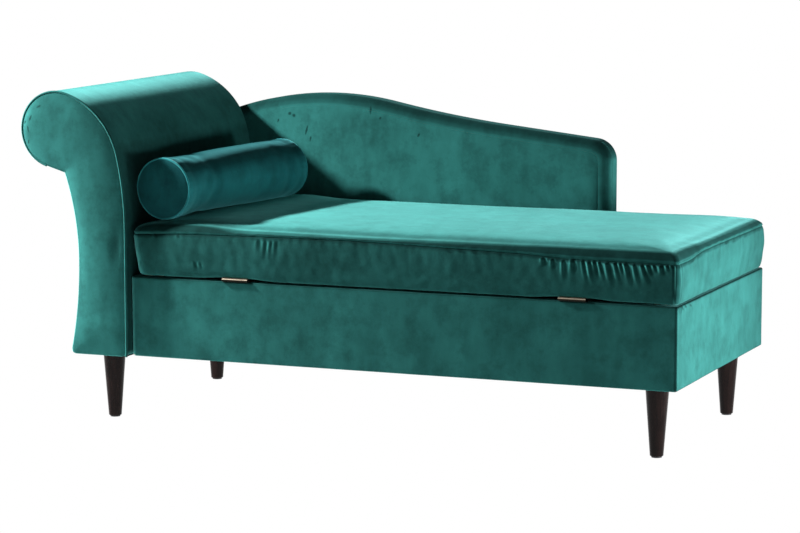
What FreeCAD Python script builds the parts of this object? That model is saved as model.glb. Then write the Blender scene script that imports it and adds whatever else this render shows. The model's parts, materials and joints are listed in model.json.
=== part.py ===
import FreeCAD, Part
import math
import os
import re
import Sketcher

# Recamier with a storage seat, millimetres. +X runs towards the foot end, +Y towards the back, +Z up.
# The origin lies on the floor, under the middle of the whole piece. Places below are first given from the
# box's own corner: x from the box's head end, y from its front face, z from the floor.

SIZES = {
    # Legs and what stands under them
    "leg_length": 146.2,
    "leg_top_diameter": 50.0,
    "leg_foot_diameter": 28.0,
    "leg_edge_round": 1.5,
    "glide_thickness": 3.0,
    "glide_diameter": 22.0,
    "glide_nail_diameter": 3.0,
    "glide_nail_length": 14.0,
    "leg_foot_inset": 61.0,
    "leg_head_inset": 76.0,
    "leg_front_inset": 68.0,
    "leg_rear_inset": 64.0,
    # Cloth and wadding
    "velvet": 1.5,
    "lining": 0.8,
    "wadding": 6.0,
    "hem": 24.0,
    "layer_gap": 0.2,
    # Box base
    "box_length": 1236.0,
    "box_depth": 657.0,
    "box_height": 175.0,
    "box_corner": 10.0,
    "panel": 15.0,
    "floor_board": 9.0,
    "rail_height": 25.0,
    "rail_width": 96.0,
    "batten_width": 60.0,
    "post_side": 38.0,
    # Seat lid
    "seam_gap": 8.0,
    "seat_head_gap": 13.0,
    "seat_back_gap": 12.0,
    "seat_bulge": 7.0,
    "seat_edge_height": 105.0,
    "seat_edge_roll": 20.0,
    "seat_crown": 12.0,
    "seat_corner": 16.0,
    "lid_rail_width": 60.0,
    "lid_rail_height": 24.0,
    "lid_board": 12.0,
    "lid_frame_inset": 9.0,
    "lid_frame_corner": 10.0,
    "buffer_diameter": 18.0,
    "buffer_round": 2.0,
    # Hinges
    "hinge_length": 60.0,
    "hinge_leaf_width": 26.0,
    "hinge_leaf_thickness": 1.8,
    "hinge_barrel": 6.4,
    "hinge_pin": 3.0,
    "hinge_pin_play": 0.05,
    "hinge_knuckle_gap": 0.3,
    "hinge_overhang": 2.0,
    "hinge_head_place": 251.0,
    "hinge_foot_place": 224.0,
    "hinge_screw_spread": 20.0,
    "hinge_screw_inset": 15.0,
    "screw_diameter": 3.5,
    "screw_length": 15.0,
    "screw_head_diameter": 6.6,
    "screw_head_height": 1.6,
    # Head end, outer surface
    "head_base_width": 136.0,
    "head_overhang": 22.0,
    "head_lean_drop": 210.5,
    "head_lean_radius": 700.0,
    "head_lean_angle": 13.2,
    "scroll_radius": 83.6,
    "scroll_reach": 166.3,
    "scroll_height": 490.5,
    "scroll_tuck_angle": 253.3,
    "head_waist_width": 115.0,
    "head_waist_height": 205.0,
    "head_hollow_radius": 600.0,
    "head_flare_radius": 950.0,
    "head_foam": 18.0,
    "head_front_foam": 14.0,
    "head_skin": 4.0,
    "rib": 18.0,
    "stretcher_width": 32.0,
    "stretcher_depth": 20.0,
    "piping_diameter": 5.0,
    "piping_proud": 1.4,
    # Back rail, outer surface
    "back_thickness": 65.0,
    "back_length": 982.0,
    "back_behind_head": 105.0,
    "back_crown_place": 185.0,
    "back_crown_height": 530.0,
    "back_crown_radius": 750.0,
    "back_sweep_radius": 2860.0,
    "back_steep_angle": 12.0,
    "back_shallow_angle": 6.4,
    "back_corner": 50.0,
    "back_lift": 5.0,
    "back_rim_round": 16.0,
    "back_front_foam": 16.0,
    "back_edge_foam": 15.0,
    "back_face_board": 6.0,
    "back_rail_width": 30.0,
    "back_upright_width": 62.0,
    # Bolts that join the head end and the back rail to the box
    "bolt_diameter": 8.0,
    "bolt_hole": 8.4,
    "bolt_head_diameter": 18.0,
    "bolt_head_height": 4.0,
    "tee_barrel": 10.6,
    "tee_flange": 22.0,
    "tee_flange_thickness": 1.6,
    "tee_length": 12.0,
    "hanger_bolt_length": 62.0,
    "upper_bolt_rise": 130.0,
    "lower_bolt_rise": 65.0,
    "head_bolt_front": 150.0,
    "head_bolt_rear": 157.0,
    "back_bolt_first": 160.0,
    "back_bolt_second": 470.0,
    "back_bolt_third": 780.0,
    # Bolster
    "bolster_short": 127.0,
    "bolster_radius": 67.5,
    "bolster_turn": 5.84,
    "bolster_front_place": 18.0,
    "bolster_face_clearance": 1.2,
    "bolster_dome": 6.0,
    "bolster_piping": 5.0,
    "rest_gap": 0.3,
}

DERIVED = {
    "leg_top": "glide_thickness + leg_length",
    "underside": "leg_top + lining",
    "box_top": "underside + box_height",
    "lid_bottom": "box_top + seam_gap",
    "seat_crest": "lid_bottom + seat_edge_height",
    "seat_top": "seat_crest + seat_crown",
    "panel_outer": "velvet + wadding",
    "panel_inner": "panel_outer + panel",
    "panel_bottom": "underside + velvet",
    "panel_top": "box_top - velvet",
    "panel_height": "panel_top - panel_bottom",
    "floor_bottom": "panel_bottom + rail_height",
    "floor_top": "floor_bottom + floor_board",
    "back_face": "box_depth + rest_gap",
    "back_rear": "back_face + back_thickness",
    "back_head_end": "-back_behind_head",
    "back_foot_end": "back_length - back_behind_head",
    "head_front": "-head_overhang",
    "head_face_height": "scroll_height - head_lean_drop",
    "head_rear": "box_depth",
    "scroll_left": "-(scroll_reach + scroll_radius)",
    "seat_foot_end": "box_length + seat_bulge",
    "centre_x": "(scroll_left - piping_proud + seat_foot_end) / 2",
    "centre_y": "(head_front - piping_proud + back_rear) / 2",
    "hinge_axis_y": "-hinge_overhang",
    "hinge_axis_z": "(box_top + lid_bottom) / 2",
    "lid_frame_bottom": "lid_bottom + velvet",
    "lid_frame_left": "seat_head_gap + lid_frame_inset",
    "lid_frame_right": "box_length - lid_frame_inset",
    "lid_frame_front": "lid_frame_inset",
    "lid_frame_rear": "box_depth - seat_back_gap - lid_frame_inset",
    "lid_board_bottom": "lid_frame_bottom + lid_rail_height",
    "lid_board_top": "lid_board_bottom + lid_board",
    "bolster_length": "box_depth - bolster_short",
    "bolster_side": "bolster_face_clearance + bolster_radius * cos(bolster_turn)",
    "upper_bolt_height": "underside + upper_bolt_rise",
    "lower_bolt_height": "underside + lower_bolt_rise",
}

# The seat's side, bottom to top: share of the edge height, share of the bulge that it stands out
SEAT_SIDE_SHARES = [(0.0, -0.1), (0.2, 0.6), (0.47, 1.0), (0.72, 0.8), (0.86, 0.2)]
# The rolled top edge: share of the edge height, share of the edge roll that it lies in
SEAT_ROLL_SHARES = [(0.96, 0.35), (1.0, 1.0)]
# The crown: share of the crown's rise, share of the way in from the rolled edge to the middle
SEAT_CROWN_SHARES = [(0.55, 0.1), (0.84, 0.25), (0.97, 0.5), (1.0, 0.9)]
# How much of the plan's half depth rounds its corners at the middle of the crown
CROWN_CORNER_SHARE = 0.9
REST_STEPS = 4
KNUCKLE_COUNT = 5

document = FreeCAD.newDocument("Recamier")
V = FreeCAD.Vector
X_AXIS = V(1, 0, 0)
Y_AXIS = V(0, 1, 0)
Z_AXIS = V(0, 0, 1)
HALF_TURN = 180.0
QUARTER_TURN = 90.0
TINY_SHARE = 1e-6

sheet = document.addObject("Spreadsheet::Sheet", "Sizes")
for row, (alias, value) in enumerate(SIZES.items(), start=1):
    sheet.set(f"A{row}", alias)
    sheet.set(f"B{row}", str(value))
    sheet.setAlias(f"B{row}", alias)
document.recompute()

places = document.addObject("App::VarSet", "Places")
WORD = re.compile(r"\b[a-z]+(?:_[a-z]+)+\b|\b(?:velvet|lining|wadding|hem|panel|rib)\b")


def qualified(formula):
    """Name the sheet or the set of places in front of every word of a formula."""
    return WORD.sub(lambda m: ("Places." if m.group(0) in DERIVED else "Sizes.") + m.group(0), formula)


for alias, formula in DERIVED.items():
    places.addProperty("App::PropertyFloat", alias, "Places")
    places.setExpression(alias, qualified(formula))
document.recompute()


class Dimensions:
    """Reads a size from the sheet, or a place worked out from the sheet, as a plain number."""

    def __getattr__(self, alias):
        return float(getattr(places if alias in DERIVED else sheet, alias))


d = Dimensions()
kept = []


def bind(thing, path, formula):
    thing.setExpression(path, qualified(formula))


def place(thing, x, y, z):
    """Put a sub-part where formulas in the box's own places say."""
    bind(thing, "Placement.Base.x", f"{x} - centre_x")
    bind(thing, "Placement.Base.y", f"{y} - centre_y")
    bind(thing, "Placement.Base.z", z)


def keep(thing, label):
    thing.Label = label
    kept.append(thing)
    return thing


def new_body(label):
    return keep(document.addObject("PartDesign::Body", label), label)


def new_sketch(body, role="XY_Plane"):
    plane = [feature for feature in body.Origin.OriginFeatures if feature.Role == role][0]
    sketch = body.newObject("Sketcher::SketchObject", f"{body.Name}_sketch")
    sketch.AttachmentSupport = (plane, [""])
    sketch.MapMode = "FlatFace"
    return sketch


def constrain(sketch, kind, references, formula):
    """Add a dimension to a sketch and bind it to a formula."""
    index = sketch.addConstraint(Sketcher.Constraint(kind, *references, 1.0))
    bind(sketch, f"Constraints[{index}]", formula)


def evaluate(formula):
    """The number that a formula comes to now."""
    return float(places.evalExpression(qualified(formula)))


def sketch_rectangle(sketch, left, bottom, width, height):
    """A rectangle whose corner and sides are formulas."""
    low = V(evaluate(left), evaluate(bottom), 0)
    across = V(evaluate(width), 0, 0)
    up = V(0, evaluate(height), 0)
    corners = [low, low + across, low + across + up, low + up]
    first = sketch.GeometryCount
    sketch.addGeometry([Part.LineSegment(corners[i], corners[(i + 1) % 4]) for i in range(4)], False)
    for i in range(4):
        following = first + (i + 1) % 4
        sketch.addConstraint(Sketcher.Constraint("Coincident", first + i, 2, following, 1))
    for i in (0, 2):
        sketch.addConstraint(Sketcher.Constraint("Horizontal", first + i))
        sketch.addConstraint(Sketcher.Constraint("Vertical", first + i + 1))
    constrain(sketch, "DistanceX", (-1, 1, first, 1), left)
    constrain(sketch, "DistanceY", (-1, 1, first, 1), bottom)
    constrain(sketch, "DistanceX", (first, 1, first, 2), width)
    constrain(sketch, "DistanceY", (first + 1, 1, first + 1, 2), height)


def sketch_circle(sketch, x, y, diameter):
    """A circle whose centre and diameter are formulas."""
    index = sketch.GeometryCount
    centre = V(evaluate(x), evaluate(y), 0)
    sketch.addGeometry(Part.Circle(centre, Z_AXIS, evaluate(diameter) / 2), False)
    constrain(sketch, "DistanceX", (-1, 1, index, 3), x)
    constrain(sketch, "DistanceY", (-1, 1, index, 3), y)
    constrain(sketch, "Diameter", (index,), diameter)


def pad(body, sketch, length):
    feature = body.newObject("PartDesign::Pad", f"{body.Name}_pad")
    feature.Profile = sketch
    bind(feature, "Length", length)
    sketch.Visibility = False
    document.recompute()
    return feature


def pocket(body, sketch, depth, against=False):
    """Cut a sketch into a body; against turns the cut to the side that the sketch plane faces."""
    before = body.Shape.Volume
    feature = body.newObject("PartDesign::Pocket", f"{body.Name}_pocket")
    feature.Profile = sketch
    feature.Reversed = against
    bind(feature, "Length", depth)
    document.recompute()
    if not body.Shape.Volume < before:
        raise ValueError(f"{body.Label}: a pocket cuts nothing")
    return feature


def board(label, x, y, z, length, depth, height):
    """A flat board with its lowest corner at a place; all six are formulas."""
    body = new_body(label)
    sketch = new_sketch(body)
    sketch_rectangle(sketch, "0", "0", length, depth)
    pad(body, sketch, height)
    place(body, x, y, z)
    document.recompute()
    return body


def round_edges(body, radius, wanted):
    """Fillet the edges of a body's tip that a test picks."""
    tip = body.Tip
    names = [f"Edge{i}" for i, edge in enumerate(tip.Shape.Edges, start=1) if wanted(edge)]
    fillet = body.newObject("PartDesign::Fillet", f"{body.Name}_round")
    fillet.Base = (tip, names)
    bind(fillet, "Radius", radius)
    document.recompute()
    return fillet


def upright(edge):
    first, last = edge.Vertexes[0].Point, edge.Vertexes[-1].Point
    return abs(first.x - last.x) + abs(first.y - last.y) < edge.Length * TINY_SHARE


def feature(label, shape):
    """A sub-part whose shape is given in the box's own places."""
    thing = document.addObject("Part::Feature", label)
    thing.Shape = shape
    place(thing, "0", "0", "0")
    return keep(thing, label)


def block(x0, y0, z0, x1, y1, z1):
    return Part.makeBox(x1 - x0, y1 - y0, z1 - z0, V(x0, y0, z0))


def rod(diameter, start, direction, length):
    return Part.makeCylinder(diameter / 2, length, start, direction)


def joined(shapes):
    """Fuse shapes into one clean solid."""
    return shapes[0].multiFuse(shapes[1:]).removeSplitter()


# Outlines


def at(centre, radius, degrees):
    angle = math.radians(degrees)
    return V(centre.x + radius * math.cos(angle), 0, centre.z + radius * math.sin(angle))


def arc(centre, radius, start, end):
    """An arc in the XZ plane, from one angle in degrees to another."""
    points = [at(centre, radius, start), at(centre, radius, (start + end) / 2), at(centre, radius, end)]
    return Part.Arc(*points).toShape()


def line(start, end):
    return Part.LineSegment(start, end).toShape()


def angle_of(centre, point):
    return math.degrees(math.atan2(point.z - centre.z, point.x - centre.x))


def head_outline(inset, sole=0.0):
    """The head end's side outline, drawn in by an inset; sole lifts its bottom line."""
    low = d.underside + sole
    lean_height = d.underside + d.head_face_height
    lean_centre = V(-d.head_lean_radius, 0, lean_height)
    lean_normal = at(V(), 1, d.head_lean_angle)
    lean_end = at(lean_centre, d.head_lean_radius, d.head_lean_angle)
    scroll_centre = V(-d.scroll_reach, 0, d.underside + d.scroll_height)
    reach = lean_end - scroll_centre
    spread = 2 * (reach.dot(lean_normal) - d.scroll_radius)
    neck_radius = (reach.dot(reach) - d.scroll_radius ** 2) / spread
    neck_centre = lean_end - lean_normal * neck_radius
    neck_end = angle_of(neck_centre, scroll_centre)
    waist_height = d.underside + d.head_waist_height
    hollow_centre = V(-d.head_waist_width - d.head_hollow_radius, 0, waist_height)
    flare_centre = V(-d.head_waist_width - d.head_flare_radius, 0, waist_height)
    hollow_radius = d.head_hollow_radius + inset
    flare_radius = d.head_flare_radius + inset
    tuck_start = at(scroll_centre, d.scroll_radius - inset, d.scroll_tuck_angle)
    tuck_way = at(V(), 1, d.scroll_tuck_angle + QUARTER_TURN)
    from_hollow = tuck_start - hollow_centre
    along = from_hollow.dot(tuck_way)
    run = -along + math.sqrt(along ** 2 - from_hollow.dot(from_hollow) + hollow_radius ** 2)
    notch = tuck_start + tuck_way * run
    toe_drop = waist_height - low
    toe = V(flare_centre.x + math.sqrt(flare_radius ** 2 - toe_drop ** 2), 0, low)
    heel = V(-inset, 0, low)
    edges = [
        line(heel, V(-inset, 0, lean_height)),
        arc(lean_centre, d.head_lean_radius - inset, 0, d.head_lean_angle),
        arc(neck_centre, neck_radius - inset, d.head_lean_angle, neck_end),
        arc(scroll_centre, d.scroll_radius - inset, neck_end, d.scroll_tuck_angle),
        line(tuck_start, notch),
        arc(hollow_centre, hollow_radius, angle_of(hollow_centre, notch), 0),
        arc(flare_centre, flare_radius, 0, angle_of(flare_centre, toe)),
        line(toe, heel),
    ]
    return Part.Wire(edges)


def back_outline(inset):
    """The back rail's outline seen from the front, drawn in by an inset."""
    crown_centre = V(d.back_crown_place, 0, d.underside + d.back_crown_height - d.back_crown_radius)
    corner = d.back_corner
    low = d.underside + d.back_lift + inset
    head_x = d.back_head_end + corner
    head_reach = (d.back_crown_radius - corner) ** 2 - (head_x - crown_centre.x) ** 2
    head_corner = V(head_x, 0, crown_centre.z + math.sqrt(head_reach))
    head_angle = angle_of(crown_centre, head_corner)
    steep = QUARTER_TURN - d.back_steep_angle
    shallow = QUARTER_TURN - d.back_shallow_angle
    sweep_start = at(crown_centre, d.back_crown_radius, steep)
    sweep_centre = sweep_start + at(V(), 1, steep) * d.back_sweep_radius
    sweep_radius = d.back_sweep_radius + inset
    sweep_end = at(sweep_centre, sweep_radius, shallow + HALF_TURN)
    normal = at(V(), 1, shallow)
    outer_end = at(sweep_centre, d.back_sweep_radius, shallow + HALF_TURN)
    foot_x = d.back_foot_end - corner
    foot_z = outer_end.z - (corner + (foot_x - outer_end.x) * normal.x) / normal.z
    foot_corner = V(foot_x, 0, foot_z)
    left = d.back_head_end + inset
    right = d.back_foot_end - inset
    edges = [
        line(V(left, 0, low), V(left, 0, head_corner.z)),
        arc(head_corner, corner - inset, HALF_TURN, head_angle),
        arc(crown_centre, d.back_crown_radius - inset, head_angle, steep),
        arc(sweep_centre, sweep_radius, steep + HALF_TURN, shallow + HALF_TURN),
        line(sweep_end, at(foot_corner, corner - inset, shallow)),
        arc(foot_corner, corner - inset, shallow, 0),
        line(V(right, 0, foot_corner.z), V(right, 0, low)),
        line(V(right, 0, low), V(left, 0, low)),
    ]
    return Part.Wire(edges)


def prism(outline, front, rear):
    """Stretch an outline in the XZ plane from one y to another."""
    face = Part.Face(outline)
    return face.translated(V(0, front, 0)).extrude(V(0, rear - front, 0))


def plan(x0, y0, x1, y1, z, corner):
    """A rectangle with rounded corners at one height, as a wire of four lines and four arcs."""
    centres = [V(x1 - corner, y1 - corner, z), V(x0 + corner, y1 - corner, z)]
    centres += [V(x0 + corner, y0 + corner, z), V(x1 - corner, y0 + corner, z)]
    edges = []
    last = None
    for turn, centre in enumerate(centres):
        angles = [math.radians(QUARTER_TURN * (turn + share)) for share in (0, 0.5, 1)]
        points = [centre + V(corner * math.cos(a), corner * math.sin(a), 0) for a in angles]
        if last is not None:
            edges.append(line(last, points[0]))
        edges.append(Part.Arc(*points).toShape())
        last = points[2]
    edges.append(line(last, edges[0].Vertexes[0].Point))
    return Part.Wire(edges)


def rounded_block(x0, y0, z0, x1, y1, z1, corner):
    return Part.Face(plan(x0, y0, x1, y1, z0, corner)).extrude(V(0, 0, z1 - z0))


# Places of the fasteners, as formulas

BOLT_HEIGHTS = ("lower_bolt_height", "upper_bolt_height")
HEAD_BOLTS = [(y, z) for y in ("head_bolt_front", "box_depth - head_bolt_rear") for z in BOLT_HEIGHTS]
BACK_BOLTS = [(f"back_bolt_{name}", z) for name in ("first", "second", "third") for z in BOLT_HEIGHTS]
HINGES = ("hinge_head_place", "box_length - hinge_foot_place")
SCREWS = [(f"{x} {side} hinge_screw_spread", "hinge_screw_inset") for x in HINGES for side in "+-"]
LEGS = {
    "leg_front_head": ("-leg_head_inset", "leg_front_inset"),
    "leg_rear_head": ("-leg_head_inset", "box_depth - leg_rear_inset"),
    "leg_front_foot": ("box_length - leg_foot_inset", "leg_front_inset"),
    "leg_rear_foot": ("box_length - leg_foot_inset", "box_depth - leg_rear_inset"),
}


def numbers(spots):
    return [tuple(evaluate(formula) for formula in spot) for spot in spots]


def holes(body, role, spots, diameter, depth, against=False):
    """Drill round holes at spots given as formulas in the body's own places."""
    sketch = new_sketch(body, role)
    for x, y in spots:
        sketch_circle(sketch, x, y, diameter)
    return pocket(body, sketch, depth, against)


def head_bores(diameter, x0, x1):
    spots = numbers(HEAD_BOLTS)
    return Part.makeCompound([rod(diameter, V(x0, y, z), X_AXIS, x1 - x0) for y, z in spots])


def back_bores(diameter, y0, y1):
    spots = numbers(BACK_BOLTS)
    return Part.makeCompound([rod(diameter, V(x, y0, z), Y_AXIS, y1 - y0) for x, z in spots])


def leg_bores(diameter, z0, z1):
    spots = numbers(LEGS.values())
    return Part.makeCompound([rod(diameter, V(x, y, z0), Z_AXIS, z1 - z0) for x, y in spots])


def screw_bores(z0, z1):
    spots = numbers(SCREWS)
    bore = d.screw_diameter + 2 * d.layer_gap
    return Part.makeCompound([rod(bore, V(x, y, z0), Z_AXIS, z1 - z0) for x, y in spots])


# Box base


def make_box_panels():
    long_side = "box_length - 2 * panel_outer"
    short_side = "box_depth - 2 * panel_inner"
    corner = "box_corner - panel_outer + layer_gap"
    front = board("box_front_panel", "panel_outer", "panel_outer", "panel_bottom",
                  long_side, "panel", "panel_height")
    screw_hole = "screw_diameter + 2 * layer_gap"
    round_edges(front, corner, lambda edge: upright(edge) and edge.CenterOfMass.y < d.panel / 2)
    spots = [(f"{x} - panel_outer", f"{y} - panel_outer") for x, y in SCREWS]
    holes(front, "XY_Plane", spots, screw_hole, "panel_height", against=True)
    rear = board("box_rear_panel", "panel_outer", "box_depth - panel_inner", "panel_bottom",
                 long_side, "panel", "panel_height")
    round_edges(rear, corner, lambda edge: upright(edge) and edge.CenterOfMass.y > d.panel / 2)
    spots = [(f"{x} - panel_outer", f"{z} - panel_bottom") for x, z in BACK_BOLTS]
    holes(rear, "XZ_Plane", spots, "bolt_hole", "panel")
    head = board("box_head_panel", "panel_outer", "panel_inner", "panel_bottom",
                 "panel", short_side, "panel_height")
    spots = [(f"{y} - panel_inner", f"{z} - panel_bottom") for y, z in HEAD_BOLTS]
    holes(head, "YZ_Plane", spots, "bolt_hole", "panel", against=True)
    board("box_foot_panel", "box_length - panel_inner", "panel_inner", "panel_bottom",
          "panel", short_side, "panel_height")


def make_box_floor():
    short_side = "box_depth - 2 * panel_inner"
    board("box_floor_panel", "panel_inner", "panel_inner", "floor_bottom",
          "box_length - 2 * panel_inner", short_side, "floor_board")
    rail = board("foot_leg_rail", "box_length - panel_inner - rail_width", "panel_inner", "panel_bottom",
                 "rail_width", short_side, "rail_height")
    across = "rail_width + panel_inner - leg_foot_inset"
    spots = [(across, f"{y} - panel_inner") for _, y in list(LEGS.values())[2:]]
    holes(rail, "XY_Plane", spots, "tee_barrel + 2 * layer_gap", "rail_height", against=True)
    top = new_sketch(rail)
    for x, y in spots:
        sketch_circle(top, x, y, "tee_flange + 2 * layer_gap")
    bind(top, "AttachmentOffset.Base.z", "rail_height - tee_flange_thickness")
    document.recompute()
    pocket(rail, top, "tee_flange_thickness", against=True)
    board("head_floor_batten", "panel_inner", "panel_inner", "panel_bottom",
          "batten_width", short_side, "rail_height")
    board("middle_floor_batten", "box_length / 2 - batten_width / 2", "panel_inner", "panel_bottom",
          "batten_width", short_side, "rail_height")


def post_blocks(grow, z0, z1):
    """The four corner posts inside the box, each side grown by a margin."""
    near_x, near_y = d.panel_inner, d.panel_inner
    far_x, far_y = d.box_length - d.panel_inner, d.box_depth - d.panel_inner
    side = d.post_side + grow
    xs = ((near_x, near_x + side), (far_x - side, far_x))
    ys = ((near_y, near_y + side), (far_y - side, far_y))
    return [block(x[0], y[0], z0, x[1], y[1], z1) for x in xs for y in ys]


def make_box_inside():
    post_top = d.panel_top - d.rest_gap
    feature("box_corner_posts", Part.makeCompound(post_blocks(0, d.floor_top, post_top)))
    x1, y1 = d.box_length - d.panel_inner, d.box_depth - d.panel_inner
    outer = block(d.panel_inner, d.panel_inner, d.floor_top, x1, y1, post_top)
    inner = block(d.panel_inner + d.lining, d.panel_inner + d.lining, d.floor_top + d.lining,
                  x1 - d.lining, y1 - d.lining, d.box_top)
    inner = inner.cut(post_blocks(d.lining, d.floor_top, d.box_top))
    lining = outer.cut(post_blocks(0, d.floor_top, post_top)).cut(inner)
    lining = lining.cut(head_bores(d.bolt_hole, 0, d.batten_width))
    lining = lining.cut(back_bores(d.bolt_hole, y1 - d.panel, y1 + d.panel))
    feature("bin_lining", lining)


def make_box_outside():
    length, depth = d.box_length, d.box_depth
    edge = d.velvet
    bores = [head_bores(d.bolt_hole, -d.panel, d.panel_inner)]
    bores.append(back_bores(d.bolt_hole, depth - d.panel_inner, depth + d.panel))
    inside = d.panel_outer
    wadding = rounded_block(edge, edge, d.panel_bottom, length - edge, depth - edge, d.panel_top,
                            d.box_corner - edge)
    core = rounded_block(inside, inside, d.underside, length - inside, depth - inside, d.box_top,
                         d.box_corner - inside)
    feature("box_wadding", wadding.cut(core).cut(bores))
    cover = rounded_block(0, 0, d.underside, length, depth, d.box_top, d.box_corner)
    cavity = rounded_block(edge, edge, d.panel_bottom, length - edge, depth - edge, d.panel_top,
                           d.box_corner - edge)
    mouth = block(d.panel_inner, d.panel_inner, d.underside, length - d.panel_inner,
                  depth - d.panel_inner, d.box_top + d.panel)
    window = block(d.hem, d.hem, 0, length - d.hem, depth - d.hem, d.panel_top)
    cover = cover.cut([cavity, mouth, window]).cut(bores)
    feature("box_cover", cover.cut(screw_bores(d.panel_top - d.velvet, d.box_top + d.velvet)))


def make_dust_covers():
    edge = d.hem / 2
    box_sheet = block(edge, edge, d.leg_top, d.box_length - edge, d.box_depth - edge, d.underside)
    head_sheet = block(edge - d.head_base_width, d.head_front + edge, d.leg_top,
                       -edge / 2, d.head_rear - edge, d.underside)
    bores = leg_bores(d.bolt_hole, 0, d.box_top)
    feature("box_dust_cover", box_sheet.cut(bores))
    feature("head_dust_cover", head_sheet.cut(bores))


# Legs


def make_leg(label, x, y):
    """A turned taper with a bore for its bolt at the top and one for the glide's nail below."""
    body = new_body(label)
    sketch = new_sketch(body, "XZ_Plane")
    foot, top, tall = d.leg_foot_diameter / 2, d.leg_top_diameter / 2, d.leg_length
    corners = [V(), V(foot, 0, 0), V(top, tall, 0), V(0, tall, 0)]
    sketch.addGeometry([Part.LineSegment(corners[i], corners[(i + 1) % 4]) for i in range(4)], False)
    for i in range(4):
        sketch.addConstraint(Sketcher.Constraint("Coincident", i, 2, (i + 1) % 4, 1))
    sketch.addConstraint(Sketcher.Constraint("Coincident", 0, 1, -1, 1))
    sketch.addConstraint(Sketcher.Constraint("Horizontal", 0))
    sketch.addConstraint(Sketcher.Constraint("Horizontal", 2))
    sketch.addConstraint(Sketcher.Constraint("Vertical", 3))
    constrain(sketch, "DistanceX", (0, 1, 0, 2), "leg_foot_diameter / 2")
    constrain(sketch, "DistanceX", (2, 2, 2, 1), "leg_top_diameter / 2")
    constrain(sketch, "DistanceY", (3, 2, 3, 1), "leg_length")
    turned = body.newObject("PartDesign::Revolution", f"{label}_turned")
    turned.Profile = sketch
    turned.ReferenceAxis = (sketch, ["V_Axis"])
    turned.Angle = 2 * HALF_TURN
    document.recompute()
    round_edges(body, "leg_edge_round", lambda edge: edge.Curve.TypeId == "Part::GeomCircle")
    holes(body, "XY_Plane", [("0", "0")], "glide_nail_diameter + 2 * layer_gap",
          "glide_nail_length + layer_gap", against=True)
    sketch = new_sketch(body)
    sketch_circle(sketch, "0", "0", "bolt_hole")
    bind(sketch, "AttachmentOffset.Base.z", "leg_length")
    document.recompute()
    pocket(body, sketch, "hanger_bolt_length / 2")
    place(body, x, y, "glide_thickness")


def make_leg_fittings():
    spots = numbers(LEGS.values())
    bolts = []
    glides = []
    tees = []
    rail_top = d.panel_bottom + d.rail_height
    for x, y in spots:
        bolt_foot = d.leg_top - d.hanger_bolt_length / 2
        bolts.append(rod(d.bolt_diameter, V(x, y, bolt_foot), Z_AXIS, rail_top - bolt_foot))
        pad_disc = rod(d.glide_diameter, V(x, y, 0), Z_AXIS, d.glide_thickness)
        nail = rod(d.glide_nail_diameter, V(x, y, 0), Z_AXIS, d.glide_thickness + d.glide_nail_length)
        glides.append(joined([pad_disc, nail]))
        tees.append(tee_nut(V(x, y, rail_top), -Z_AXIS))
    feature("leg_hanger_bolts", Part.makeCompound(bolts))
    feature("leg_glides", Part.makeCompound(glides))
    feature("leg_tee_nuts", Part.makeCompound(tees))


def tee_nut(flange_face, way):
    """A tee nut whose flange lies under a face and whose barrel runs along a way."""
    flange = rod(d.tee_flange, flange_face, way, d.tee_flange_thickness)
    barrel = rod(d.tee_barrel, flange_face, way, d.tee_length)
    return joined([flange, barrel]).cut(rod(d.bolt_hole, flange_face, way, d.tee_length))


def tee_seat(flange_face, way, depth):
    """The bore and the recess that a tee nut and its bolt need in wood."""
    gap = d.layer_gap
    flange = rod(d.tee_flange + 2 * gap, flange_face, way, d.tee_flange_thickness)
    barrel = rod(d.tee_barrel + 2 * gap, flange_face, way, depth)
    return flange.fuse(barrel)


# Head end


def make_head():
    skin_in = d.velvet + d.head_foam
    rib_in = skin_in + d.head_skin
    rib_gap = rib_in + d.layer_gap
    board_top = d.panel_bottom + d.rail_height
    front = d.head_front + d.velvet + d.head_front_foam
    rear = d.head_rear - d.velvet
    below = block(d.scroll_left, d.head_front, 0, 0, d.head_rear, board_top)
    bores = head_bores(d.bolt_hole, -rib_gap - d.stretcher_depth, d.panel)
    stretchers = [stretcher(rib_gap, spot, front, rear) for spot in STRETCHER_SPOTS]
    bolt_board = head_bolt_board(rib_gap, front, rear)
    notches = [stretcher(rib_gap, spot, front, rear, d.stretcher_depth) for spot in STRETCHER_SPOTS]
    notches.append(bolt_board)
    rib_fronts = {"front": front, "middle": (front + rear - d.rib) / 2, "rear": rear - d.rib}
    for name, y in rib_fronts.items():
        rib_shape = prism(head_outline(rib_gap), y, y + d.rib).cut(below).cut(notches)
        feature(f"head_rib_{name}", rib_shape.removeSplitter())
    feature("head_stretchers", Part.makeCompound(stretchers))
    seats = [tee_seat(V(-rib_gap - d.stretcher_depth, y, z), X_AXIS, d.stretcher_depth)
             for y, z in numbers(HEAD_BOLTS)]
    feature("head_bolt_board", bolt_board.cut(seats))
    slab = block(d.scroll_left, d.head_front, d.panel_bottom, 0, d.head_rear, board_top)
    bottom_board = prism(head_outline(skin_in + d.layer_gap, d.velvet), front, rear).common(slab)
    leg_seats = [tee_seat(V(x, y, board_top), -Z_AXIS, d.rail_height)
                 for x, y in numbers(list(LEGS.values())[:2])]
    feature("head_bottom_board", bottom_board.cut(leg_seats))
    skin = prism(head_outline(skin_in + d.layer_gap), front, rear)
    skin = skin.cut(prism(head_outline(rib_in), front, rear))
    feature("head_skin", skin.cut(below).cut(bores))
    foam = prism(head_outline(d.velvet + d.layer_gap, d.velvet), d.head_front + d.velvet, rear)
    core = prism(head_outline(skin_in), front, rear)
    base = prism(head_outline(skin_in, d.velvet), front, rear).common(slab)
    foam = foam.cut([core, base, below_core(skin_in, front, rear)]).cut(bores)
    feature("head_foam", foam.cut(head_piping(d.piping_diameter + 2 * d.layer_gap)))
    make_head_cover(bores)


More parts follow.
